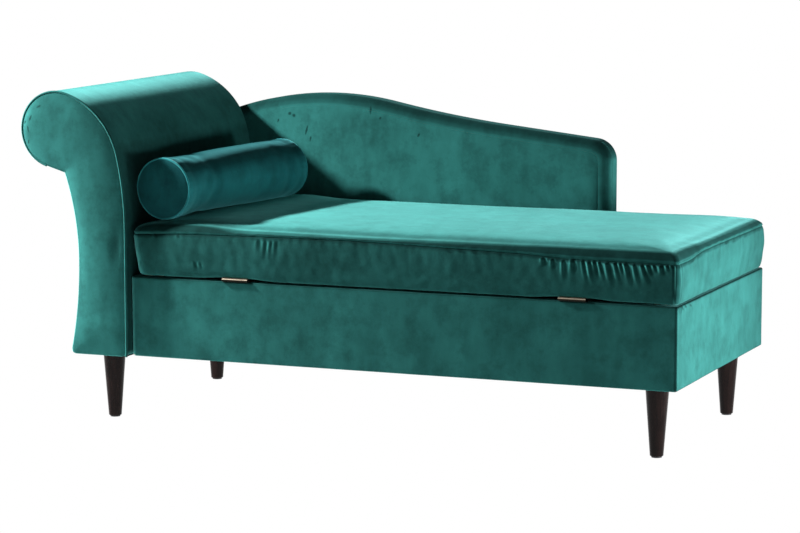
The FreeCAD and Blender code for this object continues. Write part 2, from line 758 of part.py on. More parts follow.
def below_core(skin_in, front, rear):
    """The room under the head end's foam core, down past its sole."""
    lip = prism(head_outline(skin_in, d.velvet), front, rear)
    return lip.common(block(d.scroll_left, d.head_front, 0, 0, d.head_rear, d.floor_top))


STRETCHER_SPOTS = ("scroll", "hollow", "face")


def stretcher(inset, spot, y0, y1, out=0.0):
    """A bar of wood along the head end, inside its skin; out lengthens it through the ribs' edge."""
    wide, deep = d.stretcher_width, d.stretcher_depth
    if spot == "scroll":
        side, high = d.scroll_reach, d.underside + d.scroll_height
        top = high + math.sqrt((d.scroll_radius - inset) ** 2 - (wide / 2) ** 2)
        return block(-side - wide / 2, y0, top - deep, wide / 2 - side, y1, top + out)
    if spot == "hollow":
        height = d.underside + d.head_waist_height
        left = inset - d.head_waist_width
        return block(left - out, y0, height - wide / 2, left + deep, y1, height + wide / 2)
    top = d.underside + d.head_face_height
    return block(-inset - deep, y0, top - wide, out - inset, y1, top)


def head_bolt_board(inset, y0, y1):
    low = d.panel_bottom + d.rail_height
    return block(-inset - d.stretcher_depth, y0, low, -inset, y1, d.panel_top)


def make_head_cover(bores):
    edge = d.velvet
    front, rear = d.head_front, d.head_rear
    outer = prism(head_outline(0), front, rear)
    bead = head_piping(d.piping_diameter)
    groove = head_piping(d.piping_diameter + 2 * d.layer_gap)
    cavity = prism(head_outline(edge, edge), front + edge, rear - edge)
    window = block(d.hem - d.head_base_width, front + d.hem, 0, -d.hem, rear - d.hem, d.panel_bottom)
    band = prism(head_outline(0), front + edge, rear - edge).cut([cavity, window]).cut(bores)
    feature("head_cover_band", band.cut(groove))
    front_panel = prism(head_outline(0), front, front + edge).cut(groove)
    feature("head_front_panel", front_panel)
    feature("head_rear_panel", prism(head_outline(0), rear - edge, rear))
    feature("head_piping", bead)


def head_piping(diameter):
    """A bead along the front edge of the face and the roll, standing a little proud of them."""
    sunk = d.piping_diameter / 2 - d.piping_proud
    edges = head_outline(sunk).OrderedEdges[:4]
    path = Part.Wire(edges)
    path.translate(V(0, d.head_front + sunk, 0))
    start = V(-sunk, d.head_front + sunk, d.underside)
    ring = Part.Wire(Part.makeCircle(diameter / 2, start, Z_AXIS))
    return path.makePipeShell([ring], True, False)


# Back rail


def back_form(inset, rear_inset=None):
    """The back rail's padded form with its rounded rims, drawn in by an inset."""
    front = d.back_face + inset
    rear = d.back_rear - (inset if rear_inset is None else rear_inset)
    form = prism(back_outline(inset), front, rear)
    low = d.underside + d.back_lift + inset
    rims = [edge for edge in form.Edges
            if abs(edge.Vertexes[0].Y - edge.Vertexes[-1].Y) < d.layer_gap
            and edge.BoundBox.ZMax > low + d.layer_gap]
    return form.makeFillet(d.back_rim_round - inset, rims)


def make_back():
    edge = d.velvet
    form_in = edge + d.layer_gap
    frame_in = edge + d.back_edge_foam
    front = d.back_face + edge + d.back_front_foam
    rear = d.back_rear - edge - d.layer_gap
    board_rear = front + d.back_face_board
    bores = back_bores(d.bolt_hole, d.box_depth - d.panel, d.back_rear)
    window = block(d.back_head_end + d.hem, d.back_face + d.hem, 0,
                   d.back_foot_end - d.hem, d.back_rear - d.hem, d.underside + d.back_lift + edge)
    shallow_bores = back_bores(d.bolt_hole, d.box_depth - d.panel, board_rear)
    feature("back_cover", back_form(0).cut([back_form(edge), window]).cut(shallow_bores))
    core = prism(back_outline(frame_in), front, d.back_rear)
    under = block(d.back_head_end + frame_in, front, 0, d.back_foot_end - frame_in, d.back_rear,
                  d.underside + d.back_lift + 2 * frame_in)
    feature("back_foam", back_form(form_in).cut([core, under]).cut(shallow_bores))
    face = prism(back_outline(frame_in + d.layer_gap), front, board_rear)
    feature("back_face_board", face.cut(bores))
    frame = prism(back_outline(frame_in + d.layer_gap), board_rear, rear)
    frame = frame.cut(back_windows(frame_in, board_rear, rear))
    seats = [tee_seat(V(x, rear, z), -Y_AXIS, rear - board_rear) for x, z in numbers(BACK_BOLTS)]
    feature("back_frame", frame.cut(seats))


def back_windows(frame_in, y0, y1):
    """The open fields of the back rail's frame, between its uprights."""
    wide = d.back_upright_width
    hollow = prism(back_outline(frame_in + d.back_rail_width), y0, y1)
    first = evaluate("back_bolt_first")
    second = evaluate("back_bolt_second")
    third = evaluate("back_bolt_third")
    top = d.underside + d.back_crown_height
    bars = [block(x - wide / 2, y0, 0, x + wide / 2, y1, top) for x in (first, second, third)]
    rail = block(d.back_head_end, y0, 0, d.back_foot_end, y1, d.upper_bolt_height + wide / 2)
    return hollow.cut([*bars, rail])


def make_joining_bolts():
    """The bolts from inside the bin into the head end and the back rail, with their tee nuts."""
    gap = d.layer_gap
    head_face = d.panel_inner + d.lining
    rib_gap = d.velvet + d.head_foam + d.head_skin + gap
    head_end = -rib_gap - d.stretcher_depth
    bolts, tees = [], []
    for y, z in numbers(HEAD_BOLTS):
        bolts.append(bolt(V(head_face, y, z), -X_AXIS, head_face - head_end))
        tees.append(tee_nut(V(head_end, y, z), X_AXIS))
    back_inner = d.box_depth - d.panel_inner - d.lining
    back_end = d.back_rear - d.velvet - gap
    for x, z in numbers(BACK_BOLTS):
        bolts.append(bolt(V(x, back_inner, z), Y_AXIS, back_end - back_inner))
        tees.append(tee_nut(V(x, back_end, z), -Y_AXIS))
    feature("joining_bolts", Part.makeCompound(bolts))
    feature("joining_tee_nuts", Part.makeCompound(tees))


def bolt(head_seat, way, length):
    """A round-headed bolt whose head sits on a face and whose shank runs along a way."""
    head = rod(d.bolt_head_diameter, head_seat, -way, d.bolt_head_height)
    head = head.makeFillet(d.bolt_head_height / 2, [edge for edge in head.Edges
                           if (edge.CenterOfMass - head_seat).Length > d.bolt_head_height / 2])
    return joined([head, rod(d.bolt_diameter, head_seat, way, length)])


# Seat lid


def seat_sections(shrink):
    """Plan wires of the seat from its sole to its crown; shrink draws all of them in by a thickness."""
    low = d.lid_bottom + shrink
    rise = d.seat_edge_height - 2 * shrink
    half_depth = (d.box_depth - d.seat_back_gap) / 2
    levels = []
    for height_share, out_share in SEAT_SIDE_SHARES:
        levels.append((low + rise * height_share, -d.seat_bulge * out_share, 0))
    for height_share, in_share in SEAT_ROLL_SHARES:
        levels.append((low + rise * height_share, d.seat_edge_roll * in_share, 0))
    room = half_depth - d.seat_edge_roll
    for rise_share, in_share in SEAT_CROWN_SHARES:
        inset = d.seat_edge_roll + room * in_share
        levels.append((low + rise + d.seat_crown * rise_share, inset, in_share))
    wires = []
    for height, inset, in_share in levels:
        inset += shrink
        largest = (half_depth - inset) * CROWN_CORNER_SHARE
        corner = min(d.seat_corner + half_depth * in_share, largest)
        wires.append(plan(d.seat_head_gap + inset, inset, d.box_length - inset,
                          d.box_depth - d.seat_back_gap - inset, height, corner))
    return wires


def seat_form(shrink):
    """The boxed cushion: its bulged sides and rolled edge, with the crown on top."""
    wires = seat_sections(shrink)
    edge_level = len(SEAT_SIDE_SHARES) + len(SEAT_ROLL_SHARES)
    sides = Part.makeLoft(wires[:edge_level], True, False)
    crown = Part.makeLoft(wires[edge_level - 1:], True, False)
    return sides.fuse(crown)


def make_lid():
    inset = d.lid_frame_inset
    length = "lid_frame_right - lid_frame_left"
    depth = "lid_frame_rear - lid_frame_front"
    frame = board("lid_frame", "lid_frame_left", "lid_frame_front", "lid_frame_bottom",
                  length, depth, "lid_rail_height")
    round_edges(frame, "lid_frame_corner", upright)
    sketch = new_sketch(frame)
    width = "(lid_frame_right - lid_frame_left - 4 * lid_rail_width) / 3"
    for number in range(3):
        left = f"lid_rail_width + {number} * ({width} + lid_rail_width)"
        sketch_rectangle(sketch, left, "lid_rail_width", width, f"{depth} - 2 * lid_rail_width")
    pocket(frame, sketch, "lid_rail_height", against=True)
    spots = [(f"{x} - lid_frame_left", f"{y} - lid_frame_front") for x, y in SCREWS]
    holes(frame, "XY_Plane", spots, "screw_diameter + 2 * layer_gap", "screw_length", against=True)
    top = board("lid_board", "lid_frame_left", "lid_frame_front", "lid_board_bottom",
                length, depth, "lid_board")
    round_edges(top, "lid_frame_corner", upright)
    frame_room = block(d.lid_frame_left, d.lid_frame_front, 0, d.lid_frame_right, d.lid_frame_rear,
                       d.lid_board_top)
    feature("seat_foam", seat_form(d.velvet + d.layer_gap).cut(frame_room))
    hem = inset + d.hem
    window = block(d.lid_frame_left + hem, hem, 0, d.lid_frame_right - hem, d.lid_frame_rear - hem,
                   d.lid_frame_bottom)
    cover = seat_form(0).cut(seat_form(d.velvet)).cut(window)
    feature("seat_cover", cover.cut(screw_bores(0, d.lid_frame_bottom)))
    edge = inset + d.hem - d.layer_gap
    feature("lid_lining", block(d.lid_frame_left + edge / 2, edge, d.lid_bottom - d.lining,
                                d.lid_frame_right - edge / 2, d.lid_frame_rear - edge / 2, d.lid_bottom))
    make_buffers()


def make_buffers():
    """Rubber buffers under the lid that stand on the corner posts."""
    low = d.panel_top
    tall = d.lid_bottom - d.lining - low
    middle = d.panel_inner + d.post_side / 2
    spots = [(x, y) for x in (middle, d.box_length - middle) for y in (middle, d.box_depth - middle)]
    buffers = []
    for x, y in spots:
        body = rod(d.buffer_diameter, V(x, y, low), Z_AXIS, tall)
        buffers.append(body.makeFillet(d.buffer_round, [body.Edges[0]]))
    feature("lid_buffers", Part.makeCompound(buffers))


# Hinges


def knuckles(x, numbers_used, diameter, gap):
    """Barrel segments of one hinge whose middle is at x."""
    step = d.hinge_length / KNUCKLE_COUNT
    left = x - d.hinge_length / 2
    return [rod(diameter, V(left + step * n + gap / 2, d.hinge_axis_y, d.hinge_axis_z), X_AXIS, step - gap)
            for n in numbers_used]


def hinge_leaf(x, upper):
    """One leaf with its knuckles, cut clear of the other leaf's knuckles."""
    gap, thick = d.hinge_knuckle_gap, d.hinge_leaf_thickness
    own, other = ((1, 3), (0, 2, 4)) if upper else ((0, 2, 4), (1, 3))
    z0 = d.lid_bottom - thick if upper else d.box_top
    plate = block(x - d.hinge_length / 2, d.hinge_axis_y, z0, x + d.hinge_length / 2,
                  d.hinge_leaf_width - d.hinge_overhang, z0 + thick)
    leaf = joined([plate, *knuckles(x, own, d.hinge_barrel, gap)])
    room = knuckles(x, other, d.hinge_barrel + 2 * gap, -gap)
    bore = d.hinge_pin + 2 * d.hinge_pin_play
    pin_hole = rod(bore, V(x - d.hinge_length, d.hinge_axis_y, d.hinge_axis_z), X_AXIS, 2 * d.hinge_length)
    return leaf.cut([*room, pin_hole]).cut(screw_bores(0, d.seat_top))


def make_hinges():
    centres = [evaluate(name) for name in HINGES]
    lower, upper, pins = [], [], []
    for x in centres:
        lower.append(hinge_leaf(x, False))
        upper.append(hinge_leaf(x, True))
        start = V(x - d.hinge_length / 2, d.hinge_axis_y, d.hinge_axis_z)
        pins.append(rod(d.hinge_pin, start, X_AXIS, d.hinge_length))
    feature("hinge_lower_leaves", Part.makeCompound(lower))
    feature("hinge_upper_leaves", Part.makeCompound(upper))
    feature("hinge_pins", Part.makeCompound(pins))
    spots = numbers(SCREWS)
    low_seat = d.box_top + d.hinge_leaf_thickness
    high_seat = d.lid_bottom - d.hinge_leaf_thickness
    feature("hinge_lower_screws", Part.makeCompound([screw(V(x, y, low_seat), -Z_AXIS) for x, y in spots]))
    feature("hinge_upper_screws", Part.makeCompound([screw(V(x, y, high_seat), Z_AXIS) for x, y in spots]))


def screw(head_seat, way):
    head = rod(d.screw_head_diameter, head_seat, -way, d.screw_head_height)
    return joined([head, rod(d.screw_diameter, head_seat, way, d.screw_length)])


# Bolster, built along +Y from the middle of its front end and then turned


def dome_edge(rim, rise, start, thickness):
    """Half of a shallow dome's section, from the axis to its rim, a thickness inside its outer face."""
    sphere = (rim ** 2 + rise ** 2) / (2 * rise)
    spread = math.asin(rim / sphere)
    centre = V(0, start + sphere, 0)
    radius = sphere - thickness
    points = [centre + V(math.sin(a) * radius, -math.cos(a) * radius, 0) for a in (0, spread / 2, spread)]
    return Part.Arc(*points).toShape()


def turned(edges):
    return Part.Face(Part.Wire(edges)).revolve(V(), Y_AXIS, 2 * HALF_TURN)


def mirrored(shape):
    """The same piece at the other end of the bolster."""
    return shape.mirror(V(0, d.bolster_length / 2, 0), Y_AXIS)


def end_points(edge):
    return edge.Vertexes[0].Point, edge.Vertexes[-1].Point


def bolster_disc():
    rim = d.bolster_radius - d.bolster_piping - d.layer_gap
    outer = dome_edge(rim, d.bolster_dome, 0, 0)
    inner = dome_edge(rim, d.bolster_dome, 0, d.velvet)
    (outer_axis, outer_rim), (inner_axis, inner_rim) = end_points(outer), end_points(inner)
    return turned([outer, line(outer_rim, inner_rim), inner, line(inner_axis, outer_axis)])


def bolster_filling():
    """The filling: a cylinder with a neck inside each piping and a dome inside each end panel."""
    rim = d.bolster_radius - d.bolster_piping - d.layer_gap
    dome = dome_edge(rim, d.bolster_dome, 0, d.velvet + d.layer_gap)
    axis_point, neck = end_points(dome)
    shoulder = d.bolster_dome + d.bolster_piping + d.layer_gap
    wide = d.bolster_radius - d.velvet - d.layer_gap
    middle = d.bolster_length / 2
    corners = [neck, V(neck.x, shoulder, 0), V(wide, shoulder, 0), V(wide, middle, 0), V(0, middle, 0)]
    corners.append(axis_point)
    half = turned([dome, *[line(corners[i], corners[i + 1]) for i in range(len(corners) - 1)]])
    return joined([half, mirrored(half)])


def bolster_tube():
    start = d.bolster_dome + d.bolster_piping + d.layer_gap
    length = d.bolster_length - 2 * start
    outer = rod(2 * d.bolster_radius, V(0, start, 0), Y_AXIS, length)
    return outer.cut(rod(2 * (d.bolster_radius - d.velvet), V(0, start, 0), Y_AXIS, length))


def bolster_bead():
    bead = d.bolster_piping / 2
    return Part.makeTorus(d.bolster_radius - bead, bead, V(0, d.bolster_dome + bead, 0), Y_AXIS)


def make_bolster(seat):
    disc, bead = bolster_disc(), bolster_bead()
    pieces = {
        "bolster_filling": bolster_filling(),
        "bolster_cover": bolster_tube(),
        "bolster_front_panel": disc,
        "bolster_rear_panel": mirrored(disc),
        "bolster_front_piping": bead,
        "bolster_rear_piping": mirrored(bead),
    }
    places.addProperty("App::PropertyFloat", "bolster_height", "Places")
    places.bolster_height = resting_height(seat)
    for label, shape in pieces.items():
        thing = feature(label, shape)
        thing.Placement.Rotation = FreeCAD.Rotation(Z_AXIS, -d.bolster_turn)
        bind(thing, "Placement.Base.x", "bolster_side - centre_x")
        bind(thing, "Placement.Base.y", "bolster_front_place - centre_y")
        thing.setExpression("Placement.Base.z", "Places.bolster_height")


def resting_height(seat):
    """The height of the bolster's axis when it lies on the seat with the resting gap below it."""
    height = d.seat_top + d.bolster_radius + d.rest_gap
    turn = FreeCAD.Rotation(Z_AXIS, -d.bolster_turn)
    for _ in range(REST_STEPS):
        stand_in = rod(2 * d.bolster_radius, V(), Y_AXIS, d.bolster_length)
        base = V(d.bolster_side, d.bolster_front_place, height)
        stand_in.Placement = FreeCAD.Placement(base, turn)
        height -= stand_in.distToShape(seat)[0] - d.rest_gap
    return height


def make_everything():
    make_box_panels()
    make_box_floor()
    make_box_inside()
    make_box_outside()
    make_dust_covers()
    for label, (x, y) in LEGS.items():
        make_leg(label, x, y)
    make_leg_fittings()
    make_head()
    make_back()
    make_joining_bolts()
    make_lid()
    make_hinges()
    make_bolster(seat_form(0))


def check_everything():
    """Stop if any object failed, or any sub-part isn't valid."""
    document.recompute()
    for thing in document.Objects:
        if {"Invalid", "Error"} & set(thing.State):
            raise ValueError(f"{thing.Label} failed: {thing.State}")
    for thing in kept:
        shape = thing.Shape
        if shape.isNull() or not shape.isValid() or not shape.Solids:
            raise ValueError(f"{thing.Label} has no valid shape")


make_everything()
check_everything()
os.makedirs("parts", exist_ok=True)
for sub_part in kept:
    sub_part.Shape.exportStep(f"parts/{sub_part.Label}.step")
print(len(kept), "sub-parts")
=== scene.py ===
import json
import math
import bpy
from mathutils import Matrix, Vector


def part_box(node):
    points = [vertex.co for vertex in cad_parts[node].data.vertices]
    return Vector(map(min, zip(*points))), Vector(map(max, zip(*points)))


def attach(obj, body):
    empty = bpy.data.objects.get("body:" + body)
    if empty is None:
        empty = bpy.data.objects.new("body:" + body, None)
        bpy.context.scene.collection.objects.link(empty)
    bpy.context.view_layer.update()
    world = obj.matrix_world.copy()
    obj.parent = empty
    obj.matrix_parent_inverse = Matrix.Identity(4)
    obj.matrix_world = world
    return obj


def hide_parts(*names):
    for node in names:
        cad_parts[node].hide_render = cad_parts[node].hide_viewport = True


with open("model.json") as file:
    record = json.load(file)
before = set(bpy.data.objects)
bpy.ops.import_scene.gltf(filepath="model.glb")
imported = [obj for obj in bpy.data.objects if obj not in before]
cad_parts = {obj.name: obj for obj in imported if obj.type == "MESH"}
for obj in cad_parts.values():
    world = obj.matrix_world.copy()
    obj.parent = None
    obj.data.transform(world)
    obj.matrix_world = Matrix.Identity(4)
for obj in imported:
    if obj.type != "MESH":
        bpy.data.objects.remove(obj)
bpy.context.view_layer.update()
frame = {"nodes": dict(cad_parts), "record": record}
from types import SimpleNamespace as Sizes

import bmesh
import bpy
import numpy as np
from mathutils import Vector, noise

# Recamier in emerald velvet: seat cushion, rolled head end, sweeping back rail, box base, bolster and legs.
# Lengths are metres. Places are first given from the box's own corner, as on the bench: x from the box's
# head end, y from its front face, z from the floor. ORIGIN moves them into the frame.

scene = bpy.context.scene

BOX_LOW = Vector(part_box("box_cover")[0])
BOX_HIGH = Vector(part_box("box_cover")[1])
ORIGIN = Vector((BOX_LOW.x, BOX_LOW.y, 0.0))
NOWHERE = Vector()
LENGTH = BOX_HIGH.x - BOX_LOW.x
DEPTH = BOX_HIGH.y - BOX_LOW.y
UNDERSIDE = BOX_LOW.z
BOX_TOP = BOX_HIGH.z
MM = 0.001


# Mesh helpers

def add_object(name, data):
    thing = bpy.data.objects.new(name, data)
    scene.collection.objects.link(thing)
    return thing


def outward_mesh(name, points, faces, merge=0.0):
    """A mesh whose faces all look outward; points closer than merge become one."""
    mesh = bpy.data.meshes.new(name)
    mesh.from_pydata(points.tolist(), [], faces)
    work = bmesh.new()
    work.from_mesh(mesh)
    if merge:
        bmesh.ops.remove_doubles(work, verts=work.verts, dist=merge)
    bmesh.ops.recalc_face_normals(work, faces=work.faces)
    work.to_mesh(mesh)
    work.free()
    return mesh


def mesh_piece(name, points, faces, body, origin=ORIGIN):
    """A piece that rides on a body, from points that are measured from an origin."""
    mesh = outward_mesh(name, np.asarray(points, float) + np.array(origin), faces, 0.02 * MM)
    for polygon in mesh.polygons:
        polygon.use_smooth = True
    piece = add_object(name, mesh)
    if body:
        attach(piece, body)
    return piece


def loft_faces(rows, columns, around=True, start=0):
    """Quads between rows of points; around joins the last column to the first."""
    faces = []
    for row in range(rows - 1):
        for column in range(columns if around else columns - 1):
            following = (column + 1) % columns
            low, high = start + row * columns, start + (row + 1) * columns
            faces.append((low + column, low + following, high + following, high + column))
    return faces


def stack(rings):
    """One mesh from rings of equal length: the points and the quads between them."""
    return np.concatenate(rings), loft_faces(len(rings), len(rings[0]))


def upright(x, z, y=0.0):
    """Points in an upright plane."""
    return np.column_stack([x, np.full(len(x), y), z])


def rounding(inset, depth, steps):
    """A quarter round as (inset, depth) pairs, from its full inset to none."""
    angles = np.linspace(0, math.pi / 2, steps)
    return [(inset * (1 - math.sin(a)), depth * (1 - math.cos(a))) for a in angles]


def smooth_step(low, high, value):
    share = np.clip((np.asarray(value, float) - low) / (high - low), 0.0, 1.0)
    return share * share * (3 - 2 * share)


def noise_at(points, scale, seed=0.0):
    """Smooth noise from -1 to 1 at each point."""
    shift = Vector((seed * 7.3, seed * 3.1, seed * 5.7))
    return np.array([noise.noise(Vector(p) * scale + shift) for p in points])


# Cloth simulation: padding swells a coarse copy of a grid, and the fine grid follows it

CLOTH_FRAMES = 20
CLOTH_PRESSURE = 4.0
FACE_CAP = 3 * MM
FACE_BACKING = 40 * MM
NARROWEST_ROW = 6 * MM


def swell_by_cloth(points, faces, pinned, cap, hold=0.0, growth=0.0):
    """How the points of a closed mesh move as its cloth swells; none moves further than the cap.

    hold is how firmly the padding keeps the cloth in place, and growth how much larger the cloth is cut.
    """
    mesh = outward_mesh("cloth_trial", points, faces)
    piece = add_object("cloth_trial", mesh)
    pins = piece.vertex_groups.new(name="pin")
    pins.add([int(index) for index in np.flatnonzero(pinned)], 1.0, "REPLACE")
    if hold:
        pins.add([int(index) for index in np.flatnonzero(~pinned)], hold, "REPLACE")
    cloth = piece.modifiers.new("cloth", "CLOTH")
    settings = cloth.settings
    settings.shrink_min, settings.quality, settings.vertex_group_mass = -growth, 5, "pin"
    settings.use_pressure, settings.uniform_pressure_force = True, CLOTH_PRESSURE
    settings.effector_weights.gravity = 0.0
    cloth.point_cache.frame_start, cloth.point_cache.frame_end = 1, CLOTH_FRAMES
    for step in range(1, CLOTH_FRAMES + 1):
        scene.frame_set(step)
    swelled = piece.evaluated_get(bpy.context.evaluated_depsgraph_get()).to_mesh()
    moved = np.array([vertex.co for vertex in swelled.vertices])
    bpy.data.objects.remove(piece)
    bpy.data.meshes.remove(mesh)
    scene.frame_set(1)
    way = moved - points
    size = np.maximum(np.linalg.norm(way, axis=1), 1e-9)
    return way * (cap * np.tanh(size / cap) / size)[:, None]


def spread(values, places, count, axis):
    """Fill a grid along one axis from the places where its values are known."""
    return np.apply_along_axis(lambda row: np.interp(np.arange(count), places, row), axis, values)


def follow(moves, rows, columns, shape, around):
    """Spread the moves of some rows and columns of a grid over all of it, smoothly."""
    if around:
        moves = np.concatenate([moves, moves[:, :1]], axis=1)
        columns = np.append(columns, shape[1])
    full = spread(spread(moves, columns, shape[1], 1), rows, shape[0], 0)
    return soften(soften(full, 1, 9, around), 0, 5, False)


def soften(values, axis, width, around):
    """A running mean along one axis, twice."""
    half = width // 2
    for _ in range(2):
        pad = [(half, half) if index == axis else (0, 0) for index in range(values.ndim)]
        padded = np.pad(values, pad, mode="wrap" if around else "edge")
        count = values.shape[axis]
        values = sum(np.take(padded, range(start, start + count), axis) for start in range(width)) / width
    return values


def swell_rings(grid, row_step, column_step, pinned_rows, cap, hold=0.0, growth=0.0):
    """How a closed stack of rings swells: one move for each of its points."""
    rows = np.unique(np.append(np.arange(0, grid.shape[0], row_step), grid.shape[0] - 1))
    columns = np.arange(0, grid.shape[1], column_step)
    coarse = grid[np.ix_(rows, columns)]
    points, faces = coarse.reshape(-1, 3), loft_faces(len(rows), len(columns))
    last = len(points) - len(columns)
    faces += [tuple(range(len(columns)))[::-1], tuple(range(last, len(points)))]
    pinned = np.repeat(np.isin(rows, pinned_rows), len(columns))
    moves = swell_by_cloth(points, faces, pinned, cap, hold, growth).reshape(coarse.shape)
    return follow(moves, rows, columns, grid.shape, True)


def swell_face(flat_grid, row_step, column_step, held, cap):
    """How far an upright padded face swells forward; held says which of its points lie still."""
    wide = np.flatnonzero(np.ptp(flat_grid, axis=1).max(axis=1) > NARROWEST_ROW)
    rows = np.unique(np.append(np.arange(wide[0], wide[-1], row_step), wide[-1]))
    columns = np.unique(np.append(np.arange(0, flat_grid.shape[1], column_step), flat_grid.shape[1] - 1))
    coarse = flat_grid[np.ix_(rows, columns)]
    still = held(coarse)
    still[[0, -1]] = still[:, [0, -1]] = True
    front = np.stack([coarse[..., 0], coarse[..., 0] * 0, coarse[..., 1]], axis=-1).reshape(-1, 3)
    points = np.concatenate([front, front + (0, FACE_BACKING, 0)])
    sheet = loft_faces(len(rows), len(columns), False)
    faces = sheet + [tuple(len(front) + index for index in face)[::-1] for face in sheet]
    rim = boundary(np.arange(len(front)).reshape(len(rows), len(columns)))
    for low, high in zip(rim, np.roll(rim, -1)):
        faces.append((int(low), int(high), int(high) + len(front), int(low) + len(front)))
    pinned = np.concatenate([still.ravel(), np.ones(len(front), bool)])
    moves = swell_by_cloth(points, faces, pinned, cap)[:len(front)].reshape(len(rows), len(columns), 3)
    return -follow(moves, rows, columns, flat_grid.shape, False)[..., 1]


# Outlines in the XZ plane

def arc_points(centre, radius, start, end, count):
    """Points along an arc, without its last one; angles in degrees."""
    angles = np.radians(np.linspace(start, end, count, endpoint=False))
    return np.stack([centre[0] + radius * np.cos(angles), centre[1] + radius * np.sin(angles)], axis=1)


def line_points(start, end, count):
    shares = np.linspace(0.0, 1.0, count, endpoint=False)[:, None]
    return np.array(start) * (1 - shares) + np.array(end) * shares


def polar(degrees, radius=1.0, centre=(0, 0)):
    angle = math.radians(degrees)
    return np.array([centre[0] + radius * math.cos(angle), centre[1] + radius * math.sin(angle)])


def angle_of(centre, point):
    return math.degrees(math.atan2(point[1] - centre[1], point[0] - centre[0]))


HEAD = Sizes(
    face=280 * MM, lean=700 * MM, lean_angle=13.2, scroll=83.6 * MM, reach=166.3 * MM, rise=490.5 * MM,
    tuck_angle=253.3, waist=115 * MM, waist_height=205 * MM, hollow=600 * MM, flare=950 * MM,
    overhang=22.5 * MM, rim=4.5 * MM, rear_rim=3 * MM, puff=4.5 * MM, toe_round=14 * MM,
)


def head_chains(inset):
    """The head end's two sides from its foot to the tip of its roll, as (right, left) point rows."""
    h = HEAD
    lean_z = UNDERSIDE + h.face
    lean_centre = (-h.lean, lean_z)
    normal = polar(h.lean_angle)
    lean_end = polar(h.lean_angle, h.lean, lean_centre)
    scroll_centre = np.array([-h.reach, UNDERSIDE + h.rise])
    span = lean_end - scroll_centre
    neck = (span @ span - h.scroll ** 2) / (2 * (span @ normal - h.scroll))
    neck_centre = lean_end - normal * neck
    neck_end = angle_of(neck_centre, scroll_centre)
    waist_z = UNDERSIDE + h.waist_height
    hollow_centre = np.array([-h.waist - h.hollow, waist_z])
    flare_centre = np.array([-h.waist - h.flare, waist_z])
    roll = h.scroll - inset
    tuck_start = polar(h.tuck_angle, roll, scroll_centre)
    tuck_way = polar(h.tuck_angle + 90)
    away = tuck_start - hollow_centre
    along = away @ tuck_way
    run = -along + math.sqrt(along ** 2 - away @ away + (h.hollow + inset) ** 2)
    notch = tuck_start + tuck_way * run
    low = UNDERSIDE + inset
    drop = waist_z - low
    toe_angle = -math.degrees(math.asin(drop / (h.flare + inset)))
    heel = (-inset, low)
    right = np.concatenate([
        line_points(heel, (-inset, lean_z), 40),
        arc_points(lean_centre, h.lean - inset, 0, h.lean_angle, 24),
        arc_points(neck_centre, neck - inset, h.lean_angle, neck_end, 30),
        arc_points(scroll_centre, roll, neck_end, 180, 41)[:40],
        [polar(180, roll, scroll_centre)],
    ])
    left = np.concatenate([
        arc_points(flare_centre, h.flare + inset, toe_angle, 0, 40),
        arc_points(hollow_centre, h.hollow + inset, 0, angle_of(hollow_centre, notch), 24),
        line_points(notch, tuck_start, 30),
        arc_points(scroll_centre, roll, h.tuck_angle, 180, 41)[:40],
        [polar(180, roll, scroll_centre)],
    ])
    return right, left


BACK = Sizes(
    length=982 * MM, foot_end=877 * MM, crown_x=185 * MM, crown_z=530 * MM, crown=750 * MM, sweep=2860 * MM,
    steep=12.0, shallow=6.4, corner=50 * MM, lift=5 * MM, thickness=65 * MM, gap=0.3 * MM, rim=27 * MM,
    rim_depth=17 * MM, rear_rim=16 * MM, puff=0.5 * MM, swell=5 * MM,
)


def back_top(inset):
    """The back rail's top line from its head end to its foot end."""
    b = BACK
    crown = np.array([b.crown_x, UNDERSIDE + b.crown_z - b.crown])
    corner, left_end = b.corner, b.foot_end - b.length
    head_x = left_end + corner
    head = np.array([head_x, crown[1] + math.sqrt((b.crown - corner) ** 2 - (head_x - crown[0]) ** 2)])
    head_angle = angle_of(crown, head)
    steep, shallow = 90 - b.steep, 90 - b.shallow
    sweep = polar(steep, b.crown, crown) + polar(steep) * b.sweep
    outer_end = polar(shallow + 180, b.sweep, sweep)
    normal = polar(shallow)
    foot_x = b.foot_end - corner
    foot = np.array([foot_x, outer_end[1] - (corner + (foot_x - outer_end[0]) * normal[0]) / normal[1]])
    sweep_end = polar(shallow + 180, b.sweep + inset, sweep)
    return np.concatenate([
        arc_points(head, corner - inset, 180, head_angle, 14),
        arc_points(crown, b.crown - inset, head_angle, steep, 60),
        arc_points(sweep, b.sweep + inset, steep + 180, shallow + 180, 40),
        line_points(sweep_end, polar(shallow, corner - inset, foot), 30),
        arc_points(foot, corner - inset, shallow, 0, 18),
        [polar(0, corner - inset, foot)],
    ])


# Padded slabs: a front face, a rear face and rounded rims around one outline

def distance_to(points, outline):
    """The distance from each point to the nearest edge of a closed outline."""
    start, end = outline, np.roll(outline, -1, axis=0)
    way = end - start
    size = np.maximum((way ** 2).sum(axis=1), 1e-12)
    result = []
    for point in points:
        share = np.clip(((point - start) * way).sum(axis=1) / size, 0, 1)
        result.append(np.sqrt((((start + way * share[:, None]) - point) ** 2).sum(axis=1).min()))
    return np.array(result)


def boundary(grid):
    """The rim of a grid, anticlockwise from its lower left corner."""
    return np.concatenate([grid[0], grid[1:, -1], grid[-1, -2::-1], grid[-2:0:-1, 0]])


def cross_grid(right, left, columns):
    """Rows of points from the left chain to the right one, closer together near both."""
    shares = 0.5 - 0.5 * np.cos(np.linspace(0, math.pi, columns))
    shares = (0.5 * shares + 0.5 * np.linspace(0, 1, columns))[:, None]
    return left[:, None] * (1 - shares) + right[:, None] * shares


